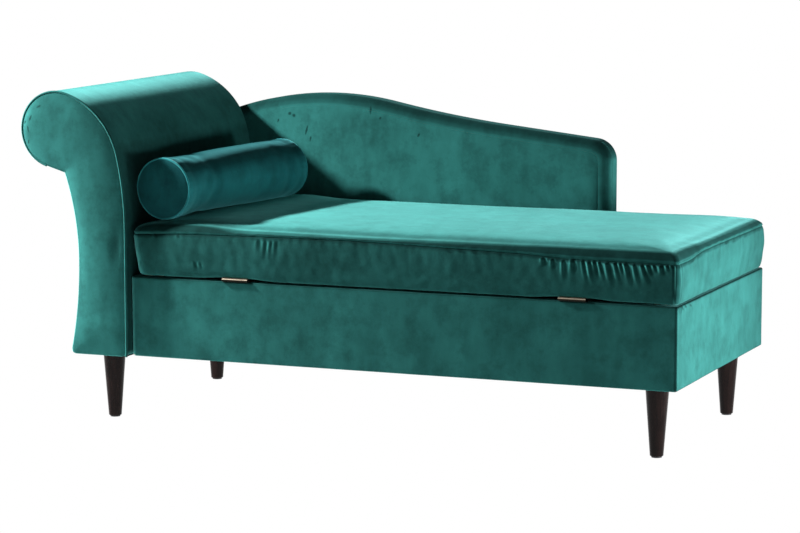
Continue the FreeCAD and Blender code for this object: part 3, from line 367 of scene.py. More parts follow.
def back_grid(inset):
    top = back_top(inset)
    low = UNDERSIDE + BACK.lift + inset
    shares = np.linspace(0, 1, 34)
    shares = 0.5 * shares + 0.5 * np.sin(shares * math.pi / 2)
    foot = np.column_stack([top[:, 0], np.full(len(top), low)])
    return foot + (top - foot) * shares[:, None, None]


def nowhere(spots):
    return np.zeros(spots.shape[:2], bool)


def slab(name, grid_at, front, rear, rim, rear_rim, puff, relief, rim_depth=None, swell_at=None,
         row_step=4, held=nowhere):
    """A padded slab. puff is how far its front swells; relief moves the front face's points in y.

    swell_at gives how far the whole front half is pushed out at each height; held is where cloth lies still.
    """
    rim_depth = rim_depth or rim
    levels = [(inset, front + deep) for inset, deep in rounding(rim, rim_depth, 12)]
    levels += [(0.0, y) for y in np.linspace(front + rim_depth, rear - rear_rim, 12)[1:-1]]
    levels += [(inset, rear - deep) for inset, deep in rounding(rear_rim, rear_rim, 12)[::-1]]
    points, faces = [], []

    def face_sheet(inset, y, swell, flip):
        grid = grid_at(inset)
        rows, columns = grid.shape[:2]
        flat = grid.reshape(-1, 2)
        depth = distance_to(flat, boundary(grid))
        out = swell * (1 - np.exp(-depth / (30 * MM)))
        if not flip:
            out = out + relief(flat) * np.clip(depth / (10 * MM), 0, 1)
            out = out + swell_face(grid, row_step, 2, held, FACE_CAP).ravel()
        start = sum(len(p) for p in points)
        points.append(upright(flat[:, 0], flat[:, 1], y + (out if flip else -out)))
        faces.extend(loft_faces(rows, columns, False, start))

    face_sheet(rim, front, puff, False)
    face_sheet(rear_rim, rear, puff * 0.3, True)
    rims = []
    for inset, y in levels:
        loop = boundary(grid_at(inset))
        rims.append(upright(loop[:, 0], loop[:, 1], y))
    start = sum(len(p) for p in points)
    faces.extend(loft_faces(len(rims), len(rims[0]), True, start))
    points.extend(rims)
    points = np.concatenate(points)
    if swell_at is not None:
        share = 1 - smooth_step(front, front + 1.6 * rim_depth, points[:, 1])
        points[:, 1] -= swell_at(points[:, 2]) * share
    return mesh_piece(name, points, faces, "base")


# Plan rings for the box and the seat

def plan_ring(plan, x0, y0, x1, y1, radii):
    """The points of a rounded rectangle and their outward ways, from the front left.

    plan gives how many points lie on the front, foot, rear and head side and on each corner, and radii are
    those of the corners, from the front foot one.
    """
    foot_front, foot_rear, head_rear, head_front = radii
    starts = [(x0 + head_front, y0), (x1, y0 + foot_front), (x1 - foot_rear, y1), (x0, y1 - head_rear)]
    ends = [(x1 - foot_front, y0), (x1, y1 - foot_rear), (x0 + head_rear, y1), (x0, y0 + head_front)]
    points, ways = [], []
    for side, radius in enumerate(radii):
        way = polar(90 * side - 90)
        rays = arc_points((0, 0), 1, 90 * side - 90, 90 * side, plan[4])
        centre = ends[side] - way * radius
        points += [line_points(starts[side], ends[side], plan[side]), centre + rays * radius]
        ways += [np.repeat(way[None], plan[side], axis=0), rays]
    return np.concatenate(points), np.concatenate(ways)


def at_height(points, z):
    return np.column_stack([points, np.full(len(points), z)])


def bell(value, centre, width):
    return np.exp(-((value - centre) / width) ** 2)


def tube(path, radius, sides):
    """Points and faces of a round tube along a path."""
    path = np.asarray(path, float)
    ways = np.gradient(path, axis=0)
    ways /= np.linalg.norm(ways, axis=1)[:, None]
    circle = arc_points((0, 0), radius, 0, 360, sides)
    side = np.array([0.0, 1.0, 0.0])
    rings = []
    for point, way in zip(path, ways):
        side = side - way * (side @ way)
        side /= np.linalg.norm(side)
        rings.append(point + circle @ [side, np.cross(way, side)])
    points, faces = stack(rings)
    last = len(points) - sides
    return points, faces + [tuple(range(sides)), tuple(range(last, last + sides))]


def lengths_along(path):
    """How far along a path each of its points lies."""
    return np.concatenate([[0], np.cumsum(np.linalg.norm(np.diff(path, axis=0), axis=1))])


def at_lengths(values, steps, marks):
    """Values that are known at the steps of a path, at each of the marks along it."""
    return np.column_stack([np.interp(marks, steps, column) for column in values.T])


def stitches(name, starts, ends, outs, thickness, body):
    """Short sewn velvet threads from each start to its end, arched along their outward ways."""
    points, faces, total = [], [], 0
    for start, end, out in zip(starts, ends, outs):
        path = [start - out * thickness, start + out * thickness * 0.6, (start + end) / 2 + out * thickness,
                end + out * thickness * 0.6, end - out * thickness]
        tube_points, tube_faces = tube(path, thickness / 2, 6)
        points.append(tube_points)
        faces += [tuple(index + total for index in face) for face in tube_faces]
        total += len(tube_points)
    dress(mesh_piece(name, np.concatenate(points), faces, body), "velvet")


# Materials

def grey(value):
    return (value, value, value)


class Nodes:
    """Builds the nodes of a material or a world with short calls."""

    def __init__(self, owner):
        owner.use_nodes = True
        self.owner, self.tree = owner, owner.node_tree

    def new(self, kind, values=(), **settings):
        """A node with its settings, and with constants for some of its sockets."""
        node = self.tree.nodes.new(kind)
        for key, value in settings.items():
            setattr(node, key, value)
        for socket, value in dict(values).items():
            node.inputs[socket].default_value = value
        return node

    def put(self, value, socket):
        """Link an output to a socket, or give the socket a constant."""
        if isinstance(value, bpy.types.NodeSocket):
            self.tree.links.new(value, socket)
        else:
            socket.default_value = (*value, 1) if isinstance(value, tuple) else value

    def surface(self, output):
        """Object gives the surface's places, and Normal its outward ways before any bump."""
        return self.new("ShaderNodeTexCoord").outputs[output]

    def noise(self, scale, detail=3.0, rough=0.5, stretch=(1, 1, 1)):
        mapping = self.new("ShaderNodeMapping", {"Scale": stretch})
        self.put(self.surface("Object"), mapping.inputs["Vector"])
        node = self.new("ShaderNodeTexNoise", {"Scale": scale, "Detail": detail, "Roughness": rough})
        self.put(mapping.outputs["Vector"], node.inputs["Vector"])
        return node.outputs["Fac"]

    def ramp(self, value, stops):
        node = self.new("ShaderNodeValToRGB")
        elements = node.color_ramp.elements
        while len(elements) < len(stops):
            elements.new(0.5)
        for element, (place, colour) in zip(elements, stops):
            element.position = place
            element.color = (*colour, 1)
        self.put(value, node.inputs["Fac"])
        return node.outputs["Color"]

    def mix(self, share, first, second, blend="MIX"):
        node = self.new("ShaderNodeMix", data_type="RGBA", blend_type=blend)
        for value, socket in ((share, 0), (first, 6), (second, 7)):
            self.put(value, node.inputs[socket])
        return node.outputs[2]

    def times(self, first, second):
        return self.mix(1.0, first, second, "MULTIPLY")

    def math(self, operation, *values, clamp=False):
        node = self.new("ShaderNodeMath", operation=operation, use_clamp=clamp)
        for value, socket in zip(values, node.inputs):
            self.put(value, socket)
        return node.outputs[0]

    def outward(self, axis):
        parts = self.new("ShaderNodeSeparateXYZ")
        self.put(self.surface("Normal"), parts.inputs[0])
        return parts.outputs[axis]

    def mark(self, place, lean, length, width, on_end=False, soft=False):
        """A share that fades at the edge of a short upright stroke; on_end puts it in the YZ plane."""
        turn = math.radians(lean)
        mapping = self.new("ShaderNodeMapping", {
            "Location": place,
            "Rotation": (turn, 0, 0) if on_end else (0, turn, 0),
            "Scale": (30 * MM, width, length) if on_end else (width, 1, length),
        }, vector_type="TEXTURE")
        self.put(self.surface("Object"), mapping.inputs["Vector"])
        size = self.new("ShaderNodeVectorMath", operation="LENGTH")
        self.put(mapping.outputs["Vector"], size.inputs[0])
        ragged = self.math("MULTIPLY_ADD", self.noise(240.0), 0.9, size.outputs["Value"])
        near, far, most = (0.3, 2.0, 0.6) if soft else (0.95, 1.7, 0.85)
        reach = {"From Min": near, "From Max": far, "To Min": most, "To Max": 0.0}
        edge = self.new("ShaderNodeMapRange", reach, interpolation_type="SMOOTHSTEP")
        self.put(ragged, edge.inputs["Value"])
        return edge.outputs["Result"]

    def bump(self, height, strength, distance, before=None):
        node = self.new("ShaderNodeBump", {"Strength": strength, "Distance": distance})
        self.put(height, node.inputs["Height"])
        if before is not None:
            self.put(before, node.inputs["Normal"])
        return node.outputs["Normal"]

    def show_directly(self, hidden, shown, output):
        """Rays from the camera, gloss and glass meet the shown shader, and light on the object the other."""
        path = self.new("ShaderNodeLightPath")
        share = path.outputs["Is Camera Ray"]
        for name in ("Is Glossy Ray", "Is Transmission Ray"):
            share = self.math("MAXIMUM", share, path.outputs[name])
        blend = self.new("ShaderNodeMixShader")
        for value, socket in zip((share, hidden.outputs[0], shown.outputs[0]), blend.inputs):
            self.put(value, socket)
        self.put(blend.outputs[0], self.tree.nodes[output].inputs["Surface"])

    def finish(self, colour, rough, constants=(), **normal):
        values = {"Base Color": colour, "Roughness": rough, **dict(constants), **normal}
        for socket, value in values.items():
            self.put(value, self.tree.nodes["Principled BSDF"].inputs[socket])
        return self.owner


def material_nodes(name):
    return Nodes(bpy.data.materials.new(name))


def velvet(name, deep, bright, sheen_tint, over_z, over_x, marks=()):
    """Cut-pile velvet: its tone varies in soft patches and streaks and is rubbed in smudges, and its sheen
    shines at grazing angles, where painted sheen also brightens its colour.

    over_z and over_x paint light and shade: they give how much brighter or darker the colour and the sheen's
    weight are made for each z and x part of the surface's outward way.
    """
    n = material_nodes(name)
    pile = n.noise(1500.0, 2.0, 0.6)
    patches = n.ramp(n.noise(6.0, 5.0, 0.6), [(0.3, deep), (0.7, bright)])
    streaks = n.ramp(n.noise(38.0, 4.0, 0.6, (1, 1, 0.35)), [(0.35, deep), (0.68, bright)])
    smudges = n.ramp(n.noise(21.0, 6.0, 0.72), [(0.36, grey(0.74)), (0.54, grey(1.0))])
    tone = n.times(n.mix(0.3, patches, streaks), smudges)
    tone = n.times(tone, n.ramp(pile, [(0.25, grey(0.8)), (0.75, grey(1.0))]))
    # Painted light and shade: lean brightens or darkens the colour and the sheen's weight by which way the
    # surface faces.
    painted_shades = []
    for axis, stops in (("Z", over_z), ("X", over_x)):
        half = n.math("MULTIPLY_ADD", n.outward(axis), 0.5, 0.5)
        painted_shades.append(n.ramp(half, [((way + 1) / 2, grey(share)) for way, share in stops]))
    lean = n.times(*painted_shades)
    tone = n.times(tone, lean)
    # Dark strokes painted at their places; on the box's foot end, in the head end's dent and on its side
    # strip they are painted shade.
    for mark in marks:
        tone = n.mix(n.mark(*mark), tone, tuple(c * 0.25 for c in deep))
    # Painted sheen: the colour is brightened where the surface is seen at a grazing angle.
    facing = n.new("ShaderNodeLayerWeight", {"Blend": 0.3})
    tone = n.mix(facing.outputs["Facing"], tone, n.times(tone, (2.2, 1.9, 1.9)))
    normal = n.bump(n.noise(16.0, 4.0, 0.6), 0.3, 3 * MM)
    normal = n.bump(pile, 0.15, 0.5 * MM, normal)
    return n.finish(tone, 0.85, {
        "Sheen Weight": n.math("MULTIPLY", lean, 0.45, clamp=True),
        "Sheen Roughness": 0.4, "Sheen Tint": sheen_tint, "Specular IOR Level": 0.02,
    }, Normal=normal)


def lacquered_wood(name):
    n = material_nodes(name)
    grain = n.noise(30.0, 5.0, 0.6, (7, 7, 0.7))
    colour = n.ramp(grain, [(0.3, (0.004, 0.002, 0.002)), (0.75, (0.015, 0.007, 0.006))])
    rough = n.ramp(n.noise(60.0), [(0.3, grey(0.2)), (0.8, grey(0.32))])
    shine = {"Coat Weight": 0.03, "Specular IOR Level": 0.12, "Coat Roughness": 0.12}
    return n.finish(colour, rough, shine, Normal=n.bump(grain, 0.08, 0.5 * MM))


def raw_wood(name, dark, light, layers=False):
    n = material_nodes(name)
    grain = n.noise(9.0, 6.0, 0.6, (1, 12, 12))
    colour = n.ramp(grain, [(0.3, dark), (0.72, light)])
    if layers:
        plies = n.new("ShaderNodeTexWave", {"Scale": 160.0}, wave_type="BANDS", bands_direction="Z")
        n.put(n.surface("Object"), plies.inputs["Vector"])
        colour = n.mix(0.12, colour, n.ramp(plies.outputs["Fac"], [(0.4, dark), (0.6, light)]))
    return n.finish(colour, 0.7, Normal=n.bump(grain, 0.2, 0.6 * MM))


def metal(name, colour, rough, shaded=False):
    """Plated metal; shaded darkens what faces down with painted shade, where the seam's shade lies."""
    n = material_nodes(name)
    marks = n.noise(300.0, 3.0, 0.6, (0.2, 4, 4))
    tone = n.ramp(marks, [(0.3, tuple(c * 0.75 for c in colour)), (0.75, colour)])
    shade = n.ramp(marks, [(0.3, grey(rough)), (0.8, grey(rough + 0.15))])
    if shaded:
        # Painted shade: darker where the surface faces down.
        painted_underside_shade = n.ramp(n.outward("Z"), [(0.0, grey(0.06)), (0.25, grey(0.3)), (0.55, grey(1.0))])
        tone = n.times(tone, painted_underside_shade)
    return n.finish(tone, shade, {"Metallic": 1.0}, Normal=n.bump(marks, 0.1, 0.2 * MM))


def dull(name, dark, light, scale, rough=0.85):
    n = material_nodes(name)
    grain = n.noise(scale, 4.0, 0.6)
    colour = n.ramp(grain, [(0.3, dark), (0.7, light)])
    return n.finish(colour, rough, Normal=n.bump(grain, 0.3, 0.5 * MM))


EMERALD = (0.013, 0.085, 0.077), (0.027, 0.165, 0.152), (0.3, 0.95, 0.92)
TEAL = (0.0045, 0.045, 0.05), (0.009, 0.095, 0.1), (0.22, 0.85, 0.9)
# LIT_TEAL is the teal velvet made three and a half times brighter, a painted highlight for the bolster's
# piping.
LIT_TEAL = [tuple(min(c * 3.5, 1.0) for c in tone) for tone in TEAL]
EVEN = ((-1, 1.0), (1, 1.0))
# CREST paints light and shade by how far the surface faces up: darker where it tilts part way up, as on
# crests and rounded edges, lighter where it faces straight up.
CREST = ((0.0, 1.0), (0.12, 0.95), (0.4, 0.36), (0.8, 0.3), (0.96, 0.95), (1.0, 1.75))
# Dark strokes painted in the pile, those on the box's foot end as painted shade in its creases: two places of
# the middle, lean in degrees, half length and half width, in millimetres.
# The places are x and z on the back rail and on the head end's front, and y and z on the box's foot end.
BACK_STROKES = ((90, 632, 60, 5, 4), (101, 628, 100, 5, 4), (134, 595, 15, 13, 3), (144, 575, 12, 7, 2.5),
                (295, 646, 0, 10, 3), (416, 592, 30, 6, 3), (320, 628, 60, 4, 3), (61, 615, 20, 5, 2.5))
ROLL_STROKES = ((-226, 664, 20, 7, 2.5), (-232, 640, -15, 8, 2), (-240, 655, 35, 5, 2), (-205, 690, 60, 6, 2),
                (-232, 612, 10, 6, 2))
FOOT_STROKES = ((14, 316, 10, 9, 2.5), (26, 309, -15, 16, 2.5), (38, 318, 60, 9, 3), (60, 318, 80, 8, 2.5),
                (95, 316, 75, 7, 2.5))


PANEL_FRONT = 22 * MM


def stroke(x, y, z, lean, length, width, on_end=False, soft=False):
    return (ORIGIN.x + x, y, z * MM), lean, length * MM, width * MM, on_end, soft


BACK_MARKS = [stroke(x * MM, 0, *rest) for x, *rest in BACK_STROKES]
HEAD_MARKS = [stroke(x * MM, ORIGIN.y - PANEL_FRONT, *rest) for x, *rest in ROLL_STROKES]
BOX_MARKS = [stroke(LENGTH, ORIGIN.y + y * MM, *rest, True) for y, *rest in FOOT_STROKES]
# Painted shade in the dent at the foot of the head end's front, and painted shade on the strip of its side
# that shows before the box
HEAD_MARKS.insert(0, stroke(-22 * MM, ORIGIN.y - PANEL_FRONT, 384, 0, 40, 17, False, True))
HEAD_MARKS.append(stroke(0, ORIGIN.y - 9 * MM, 235, 0, 190, 8, True))


def emerald(name, over_z, over_x, marks=()):
    return velvet(f"velvet_emerald{name}", *EMERALD, over_z, over_x, marks)


# Copies of the emerald velvet, one for each piece, with painted light and shade: lighter where a side turns
# to the key lamp, darker on crests, edges and sides turned away from it.
VELVET = emerald("", CREST, EVEN)
SEAT_VELVET = emerald(
    "_seat", ((0.0, 0.79), (0.1, 0.79)) + CREST[2:],
    ((-1, 3.0), (-0.5, 2.6), (-0.15, 1.05), (0.0, 1.0), (0.08, 0.86), (0.3, 0.82), (0.5, 1.1), (0.7, 1.0),
     (1.0, 1.09)))
HEAD_VELVET = emerald(
    "_head", ((0.0, 1.08), (0.12, 1.0), (0.45, 0.78), (0.75, 0.73), (0.93, 0.82), (1.0, 0.98)),
    ((-1, 2.2), (-0.4, 1.6), (0, 1.0), (0.2, 0.9), (0.7, 0.95), (0.93, 0.75), (1.0, 0.3)), HEAD_MARKS)
BACK_VELVET = emerald(
    "_back", ((0.0, 1.03), (0.05, 0.95), (0.2, 0.55), (0.5, 0.32), (1.0, 0.26)),
    ((0.0, 1.0), (0.1, 0.8), (0.3, 0.5), (0.7, 0.55), (0.95, 1.1), (1.0, 1.3)), BACK_MARKS)
BOX_VELVET = emerald(
    "_box", ((0.0, 1.0), (0.3, 0.5), (1.0, 0.45)),
    ((-1, 2.6), (-0.4, 2.4), (-0.08, 1.08), (0, 1.08), (0.15, 0.7), (0.5, 0.2), (0.85, 0.3), (0.98, 0.97)),
    BOX_MARKS)
EDGE_VELVET = emerald(
    "_edge", ((0.0, 1.0), (0.5, 0.8), (1.0, 0.5)),
    ((-1, 1.5), (-0.2, 1.2), (0.2, 1.0), (0.6, 0.6), (1.0, 0.6)))
# The bolster's teal velvet with painted light and shade: its lower half lighter and a dark band below its
# top.
BOLSTER_VELVET = velvet(
    "velvet_teal", *TEAL, ((-1, 2.4), (0.0, 2.3), (0.35, 1.6), (0.6, 0.6), (0.82, 0.3), (1.0, 0.5)), EVEN)
DISC_VELVET = velvet("velvet_teal_end", *TEAL, EVEN, EVEN)
# The bolster's piping gets the lighter teal, a painted highlight; the head's piping gets its own painted
# light and shade.
PIPING_HIGHLIGHT_VELVET = velvet("velvet_teal_piping_painted_highlight", *LIT_TEAL, EVEN, EVEN)
EDGES = {"bolster_front_piping": PIPING_HIGHLIGHT_VELVET, "bolster_rear_piping": PIPING_HIGHLIGHT_VELVET,
         "head_piping": EDGE_VELVET}
SLOT_MATERIALS = {
    "velvet": VELVET,
    "bolster_velvet": BOLSTER_VELVET,
    "foam": dull("foam_cream", (0.6, 0.55, 0.4), (0.78, 0.73, 0.56), 300.0),
    "plywood": raw_wood("plywood_birch", (0.42, 0.27, 0.13), (0.66, 0.48, 0.28), True),
    "frame_wood": raw_wood("pine_sawn", (0.4, 0.24, 0.11), (0.62, 0.42, 0.22)),
    "lining_cloth": dull("nonwoven_black", (0.008, 0.008, 0.009), (0.02, 0.02, 0.022), 900.0),
    "leg_wood": lacquered_wood("leg_lacquer"),
    "zinc_steel": metal("zinc_plate", (0.62, 0.63, 0.66), 0.3),
    "hinge_brass": metal("hinge_plate", (0.36, 0.3, 0.23), 0.4, True),
    "black_plastic": dull("glide_black", (0.015, 0.015, 0.016), (0.03, 0.03, 0.032), 400.0, 0.5),
    "rubber": dull("rubber_black", grey(0.012), grey(0.025), 500.0, 0.8),
}


def dress(piece, slot, material=None):
    piece.data.materials.clear()
    piece.data.materials.append(material or SLOT_MATERIALS[slot])


def dress_frame():
    """Give every carried-over node the material of its slot; the piping nodes in EDGES get their own copies
    of the velvet, with painted light and shade.
    """
    for entry in frame["record"]["subparts"]:
        node = frame["nodes"][entry["node"]]
        for material_slot in node.material_slots:
            material_slot.material = EDGES.get(entry["node"], SLOT_MATERIALS[entry["material_slot"]])


# Pieces

def round_bottom(points, right, left, low, radius):
    """Round the two lower corners of an outline's points, which lie between two sides at its foot."""
    for corner, way in ((right, -1), (left, 1)):
        inside = np.stack([(points[..., 0] - corner) * way, points[..., 1] - low], axis=-1)
        from_centre = radius - inside
        longest = np.abs(from_centre).max(axis=-1, keepdims=True)
        size = np.maximum(np.linalg.norm(from_centre, axis=-1, keepdims=True), 1e-9)
        rounded = (radius - from_centre * (longest / size)) * (way, 1) + (corner, low)
        points = np.where((inside < radius).all(axis=-1, keepdims=True), rounded, points)
    return points


def head_grid(inset):
    right, left = head_chains(inset)
    grid = cross_grid(right, left, 40)
    return round_bottom(grid, right[0][0], left[0][0], right[0][1], HEAD.toe_round - inset)


def head_relief(flat):
    """The head end's front panel: the pull beside the seat and a slight unevenness of its padding."""
    x, z = flat[:, 0], flat[:, 1]
    pull = -2.2 * MM * bell(x, -22 * MM, 16 * MM) * bell(z, 385 * MM, 34 * MM)
    return pull + noise_at(upright(x, z), 11.0, 1) * 1.2 * MM


def make_head():
    piece = slab("head_velvet", head_grid, -HEAD.overhang, DEPTH, HEAD.rim, HEAD.rear_rim, HEAD.puff,
                 head_relief)
    dress(piece, "velvet", HEAD_VELVET)
    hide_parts("head_cover_band", "head_front_panel", "head_rear_panel", "head_foam")


def back_relief(flat):
    return noise_at(upright(flat[:, 0], flat[:, 1]), 9.0, 2) * 0.8 * MM


def back_swell(z):
    """The back rail's padding stands out above the box and lies flat behind it."""
    return BACK.swell * smooth_step(BOX_TOP + 4 * MM, BOX_TOP + 60 * MM, z)


def make_back():
    front = DEPTH + BACK.gap
    rear = front + BACK.thickness
    piece = slab("back_velvet", back_grid, front, rear, BACK.rim, BACK.rear_rim, BACK.puff, back_relief,
                 BACK.rim_depth, back_swell, 2, lambda spots: spots[..., 1] < BOX_TOP + 10 * MM)
    dress(piece, "velvet", BACK_VELVET)
    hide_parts("back_cover", "back_foam")
    make_back_stitches(front)


def make_back_stitches(front):
    """The hand-sewn closing of the back rail's foot end, slanting over its edge."""
    outline = back_top(0)
    end = outline[outline[:, 0] > BACK.foot_end - 26 * MM]
    lows = np.arange(end[-1][1] - 3 * MM, BOX_TOP + 135 * MM, -3 * MM)
    path = np.concatenate([end, [(BACK.foot_end, z) for z in lows]])
    steps = lengths_along(path)
    xs, zs = at_lengths(path, steps, np.arange(2 * MM, steps[-1], 4.2 * MM)).T
    ways = upright(np.gradient(xs), np.gradient(zs))
    ways /= np.linalg.norm(ways, axis=1)[:, None]
    outs = upright(-ways[:, 2], ways[:, 0])
    middles = upright(xs, zs, front + BACK.rim_depth)
    half = ways * 1.2 * MM + (0, 2.5 * MM, 0)
    stitches("back_closing_stitches", middles - half, middles + half, outs, 0.9 * MM, "base")


BOX = Sizes(
    plan=(420, 240, 420, 240, 12), turn_in=22 * MM, edge=4 * MM, front_corner=6 * MM, rear_corner=12 * MM,
)


def make_box():
    height = BOX_TOP - UNDERSIDE
    low = [(BOX.turn_in, 0.0), (BOX.turn_in / 2, 0.0)] + rounding(BOX.edge, BOX.edge, 6)
    levels = low + [(0.0, z) for z in np.linspace(BOX.edge, height - BOX.edge, 40)[1:-1]]
    levels += [(inset, height - rise) for inset, rise in low[::-1]]
    corners = (BOX.front_corner, BOX.front_corner, BOX.rear_corner, BOX.rear_corner)
    rings = []
    for inset, z in levels:
        radii = [max(radius - inset, 1.5 * MM) for radius in corners]
        points, ways = plan_ring(BOX.plan, inset, inset, LENGTH - inset, DEPTH - inset, radii)
        ring = at_height(points, UNDERSIDE + z)
        if inset <= BOX.edge:
            ring[:, :2] += ways * box_relief(ring)[:, None]
        rings.append(ring)
    piece = mesh_piece("box_velvet", *stack(rings), "base")
    dress(piece, "velvet", BOX_VELVET)
    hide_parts("box_cover")


# Creases at the top of the box by its foot end: their place along the end, their lean and their length
BOX_CREASES = ((12, 4, 26), (24, -5, 34), (37, -9, 24), (58, -6, 20))


def box_relief(ring):
    """How far the box's velvet stands out: slight waves, and creases pulled from its nearest top corner."""
    out = noise_at(ring, 9.0, 3) * 0.7 * MM
    out += noise_at(ring * (1, 1, 0.35), 30.0, 4) * 0.25 * MM
    down = (BOX_TOP - ring[:, 2]) / MM
    on_end = ring[:, 0] > LENGTH - 2 * MM
    for place, lean, length in BOX_CREASES:
        line = (place + lean * down / length) * MM
        depth = smooth_step(0, 4, down) * (1 - smooth_step(4, length, down))
        out += np.where(on_end, 1.4 * MM * depth * (bell(ring[:, 1], line, 3 * MM) - 0.5
                                                    * bell(ring[:, 1], line + 5 * MM, 3 * MM)), 0)
    return out


# The seat's folds: top x and z and lower end x and z, in millimetres, hanging from the seam
GATHERS = (
    (990, 410, 994, 358), (1011, 415, 1015, 373), (1031, 414, 1051, 355), (1042, 412, 1064, 352),
    (1055, 413, 1073, 359), (1069, 412, 1091, 364), (1083, 411, 1105, 354), (1098, 412, 1119, 365),
    (1111, 411, 1130, 370), (1125, 411, 1147, 356), (1141, 411, 1165, 354), (1155, 410, 1184, 362),
    (1171, 409, 1183, 378), (1186, 409, 1194, 388), (1198, 410, 1204, 384), (1209, 410, 1213, 390),
    (1221, 411, 1224, 392), (306, 421, 300, 385), (320, 420, 312, 370), (332, 420, 322, 366),
    (346, 420, 336, 372), (969, 412, 971, 384), (945, 413, 946, 392), (150, 364, 157, 345),
    (166, 364, 171, 344), (22, 362, 28, 342), (58, 422, 57, 408), (112, 423, 111, 409),
)
SEAT_PLAN = (640, 220, 260, 150, 14)
SEAT_LOW = BOX_TOP + 8 * MM
SEAT_SLACK, SEAT_CAP = 2 * MM, 4 * MM
HINGE_HEAD, HINGE_FOOT = 251 * MM, LENGTH - 224 * MM
SEAM_RISE, CREST_RISE, CROWN_RISE = 86 * MM, 105 * MM, 117 * MM
SEAT_HEAD_GAP, SEAT_BACK_GAP = 13 * MM, 12 * MM
# The side's profile: rise above the sole, and inset on the long sides and at the head end
SEAT_SIDE = ((0, 3, 5), (3, 0.5, 1), (20, -4, -2), (48, -7, -6), (70, -6, -9), (86, -3, -11), (92, -1.5, -9),
             (98, 3.5, -3), (102, 9, 8), (104, 14, 20), (105, 20, 34))
# The crown: share of the way in from the edge to the middle, and share of its rise
CROWN_SHARES = ((0, 0), (0.1, 0.55), (0.25, 0.84), (0.5, 0.97), (0.97, 1.0))
# Heights of the seam in the photo, in millimetres: x and z
SEAM_HEIGHTS = ((0, 418), (137, 423), (300, 426), (520, 427), (900, 418), (1010, 412), (1236, 411))


def side_inset(rise, column):
    """The side's inset at a rise above the sole, in metres, from a smooth line through its table."""
    table = np.array(SEAT_SIDE, float)
    fine = np.array(curve_through([(row[0], row[column]) for row in table], 240))
    return np.interp(rise / MM, fine[:, 0], fine[:, 1]) * MM


def seat_levels():
    """Rise, inset and inset at the head end, from the sole to the middle of the crown."""
    runs = ((0, 76, 30), (77.5, 95, 24), (96.5, 105, 9))
    rises = np.concatenate([np.linspace(*run) for run in runs]) * MM
    levels = [(rise, side_inset(rise, 1), side_inset(rise, 2)) for rise in rises]
    half = (DEPTH - SEAT_BACK_GAP) / 2
    crest = levels[-1]
    for share, up in curve_through(CROWN_SHARES, 34)[1:]:
        rise = CREST_RISE + (CROWN_RISE - CREST_RISE) * up
        levels.append((rise, crest[1] + (half - crest[1]) * share, crest[2] + (half - crest[2]) * share))
    return levels, half


def seat_grid():
    levels, half = seat_levels()
    x0, x1, y0, y1 = SEAT_HEAD_GAP, LENGTH, 0.0, DEPTH - SEAT_BACK_GAP
    rings, ways = [], []
    for rise, inset, head_inset in levels:
        share = max(0.0, (inset - 20 * MM) / (half - 20 * MM))
        most = (half - inset) * 0.9
        radii = [min(radius * MM + half * share, most) for radius in (11, 14, 26, 26)]
        points, way = plan_ring(SEAT_PLAN, x0 + head_inset, y0 + inset, x1 - inset, y1 - inset, radii)
        rings.append(at_height(points, SEAT_LOW + rise))
        ways.append(at_height(way, 0.0))
    return np.array(rings), np.array(ways), np.array([level[0] for level in levels])


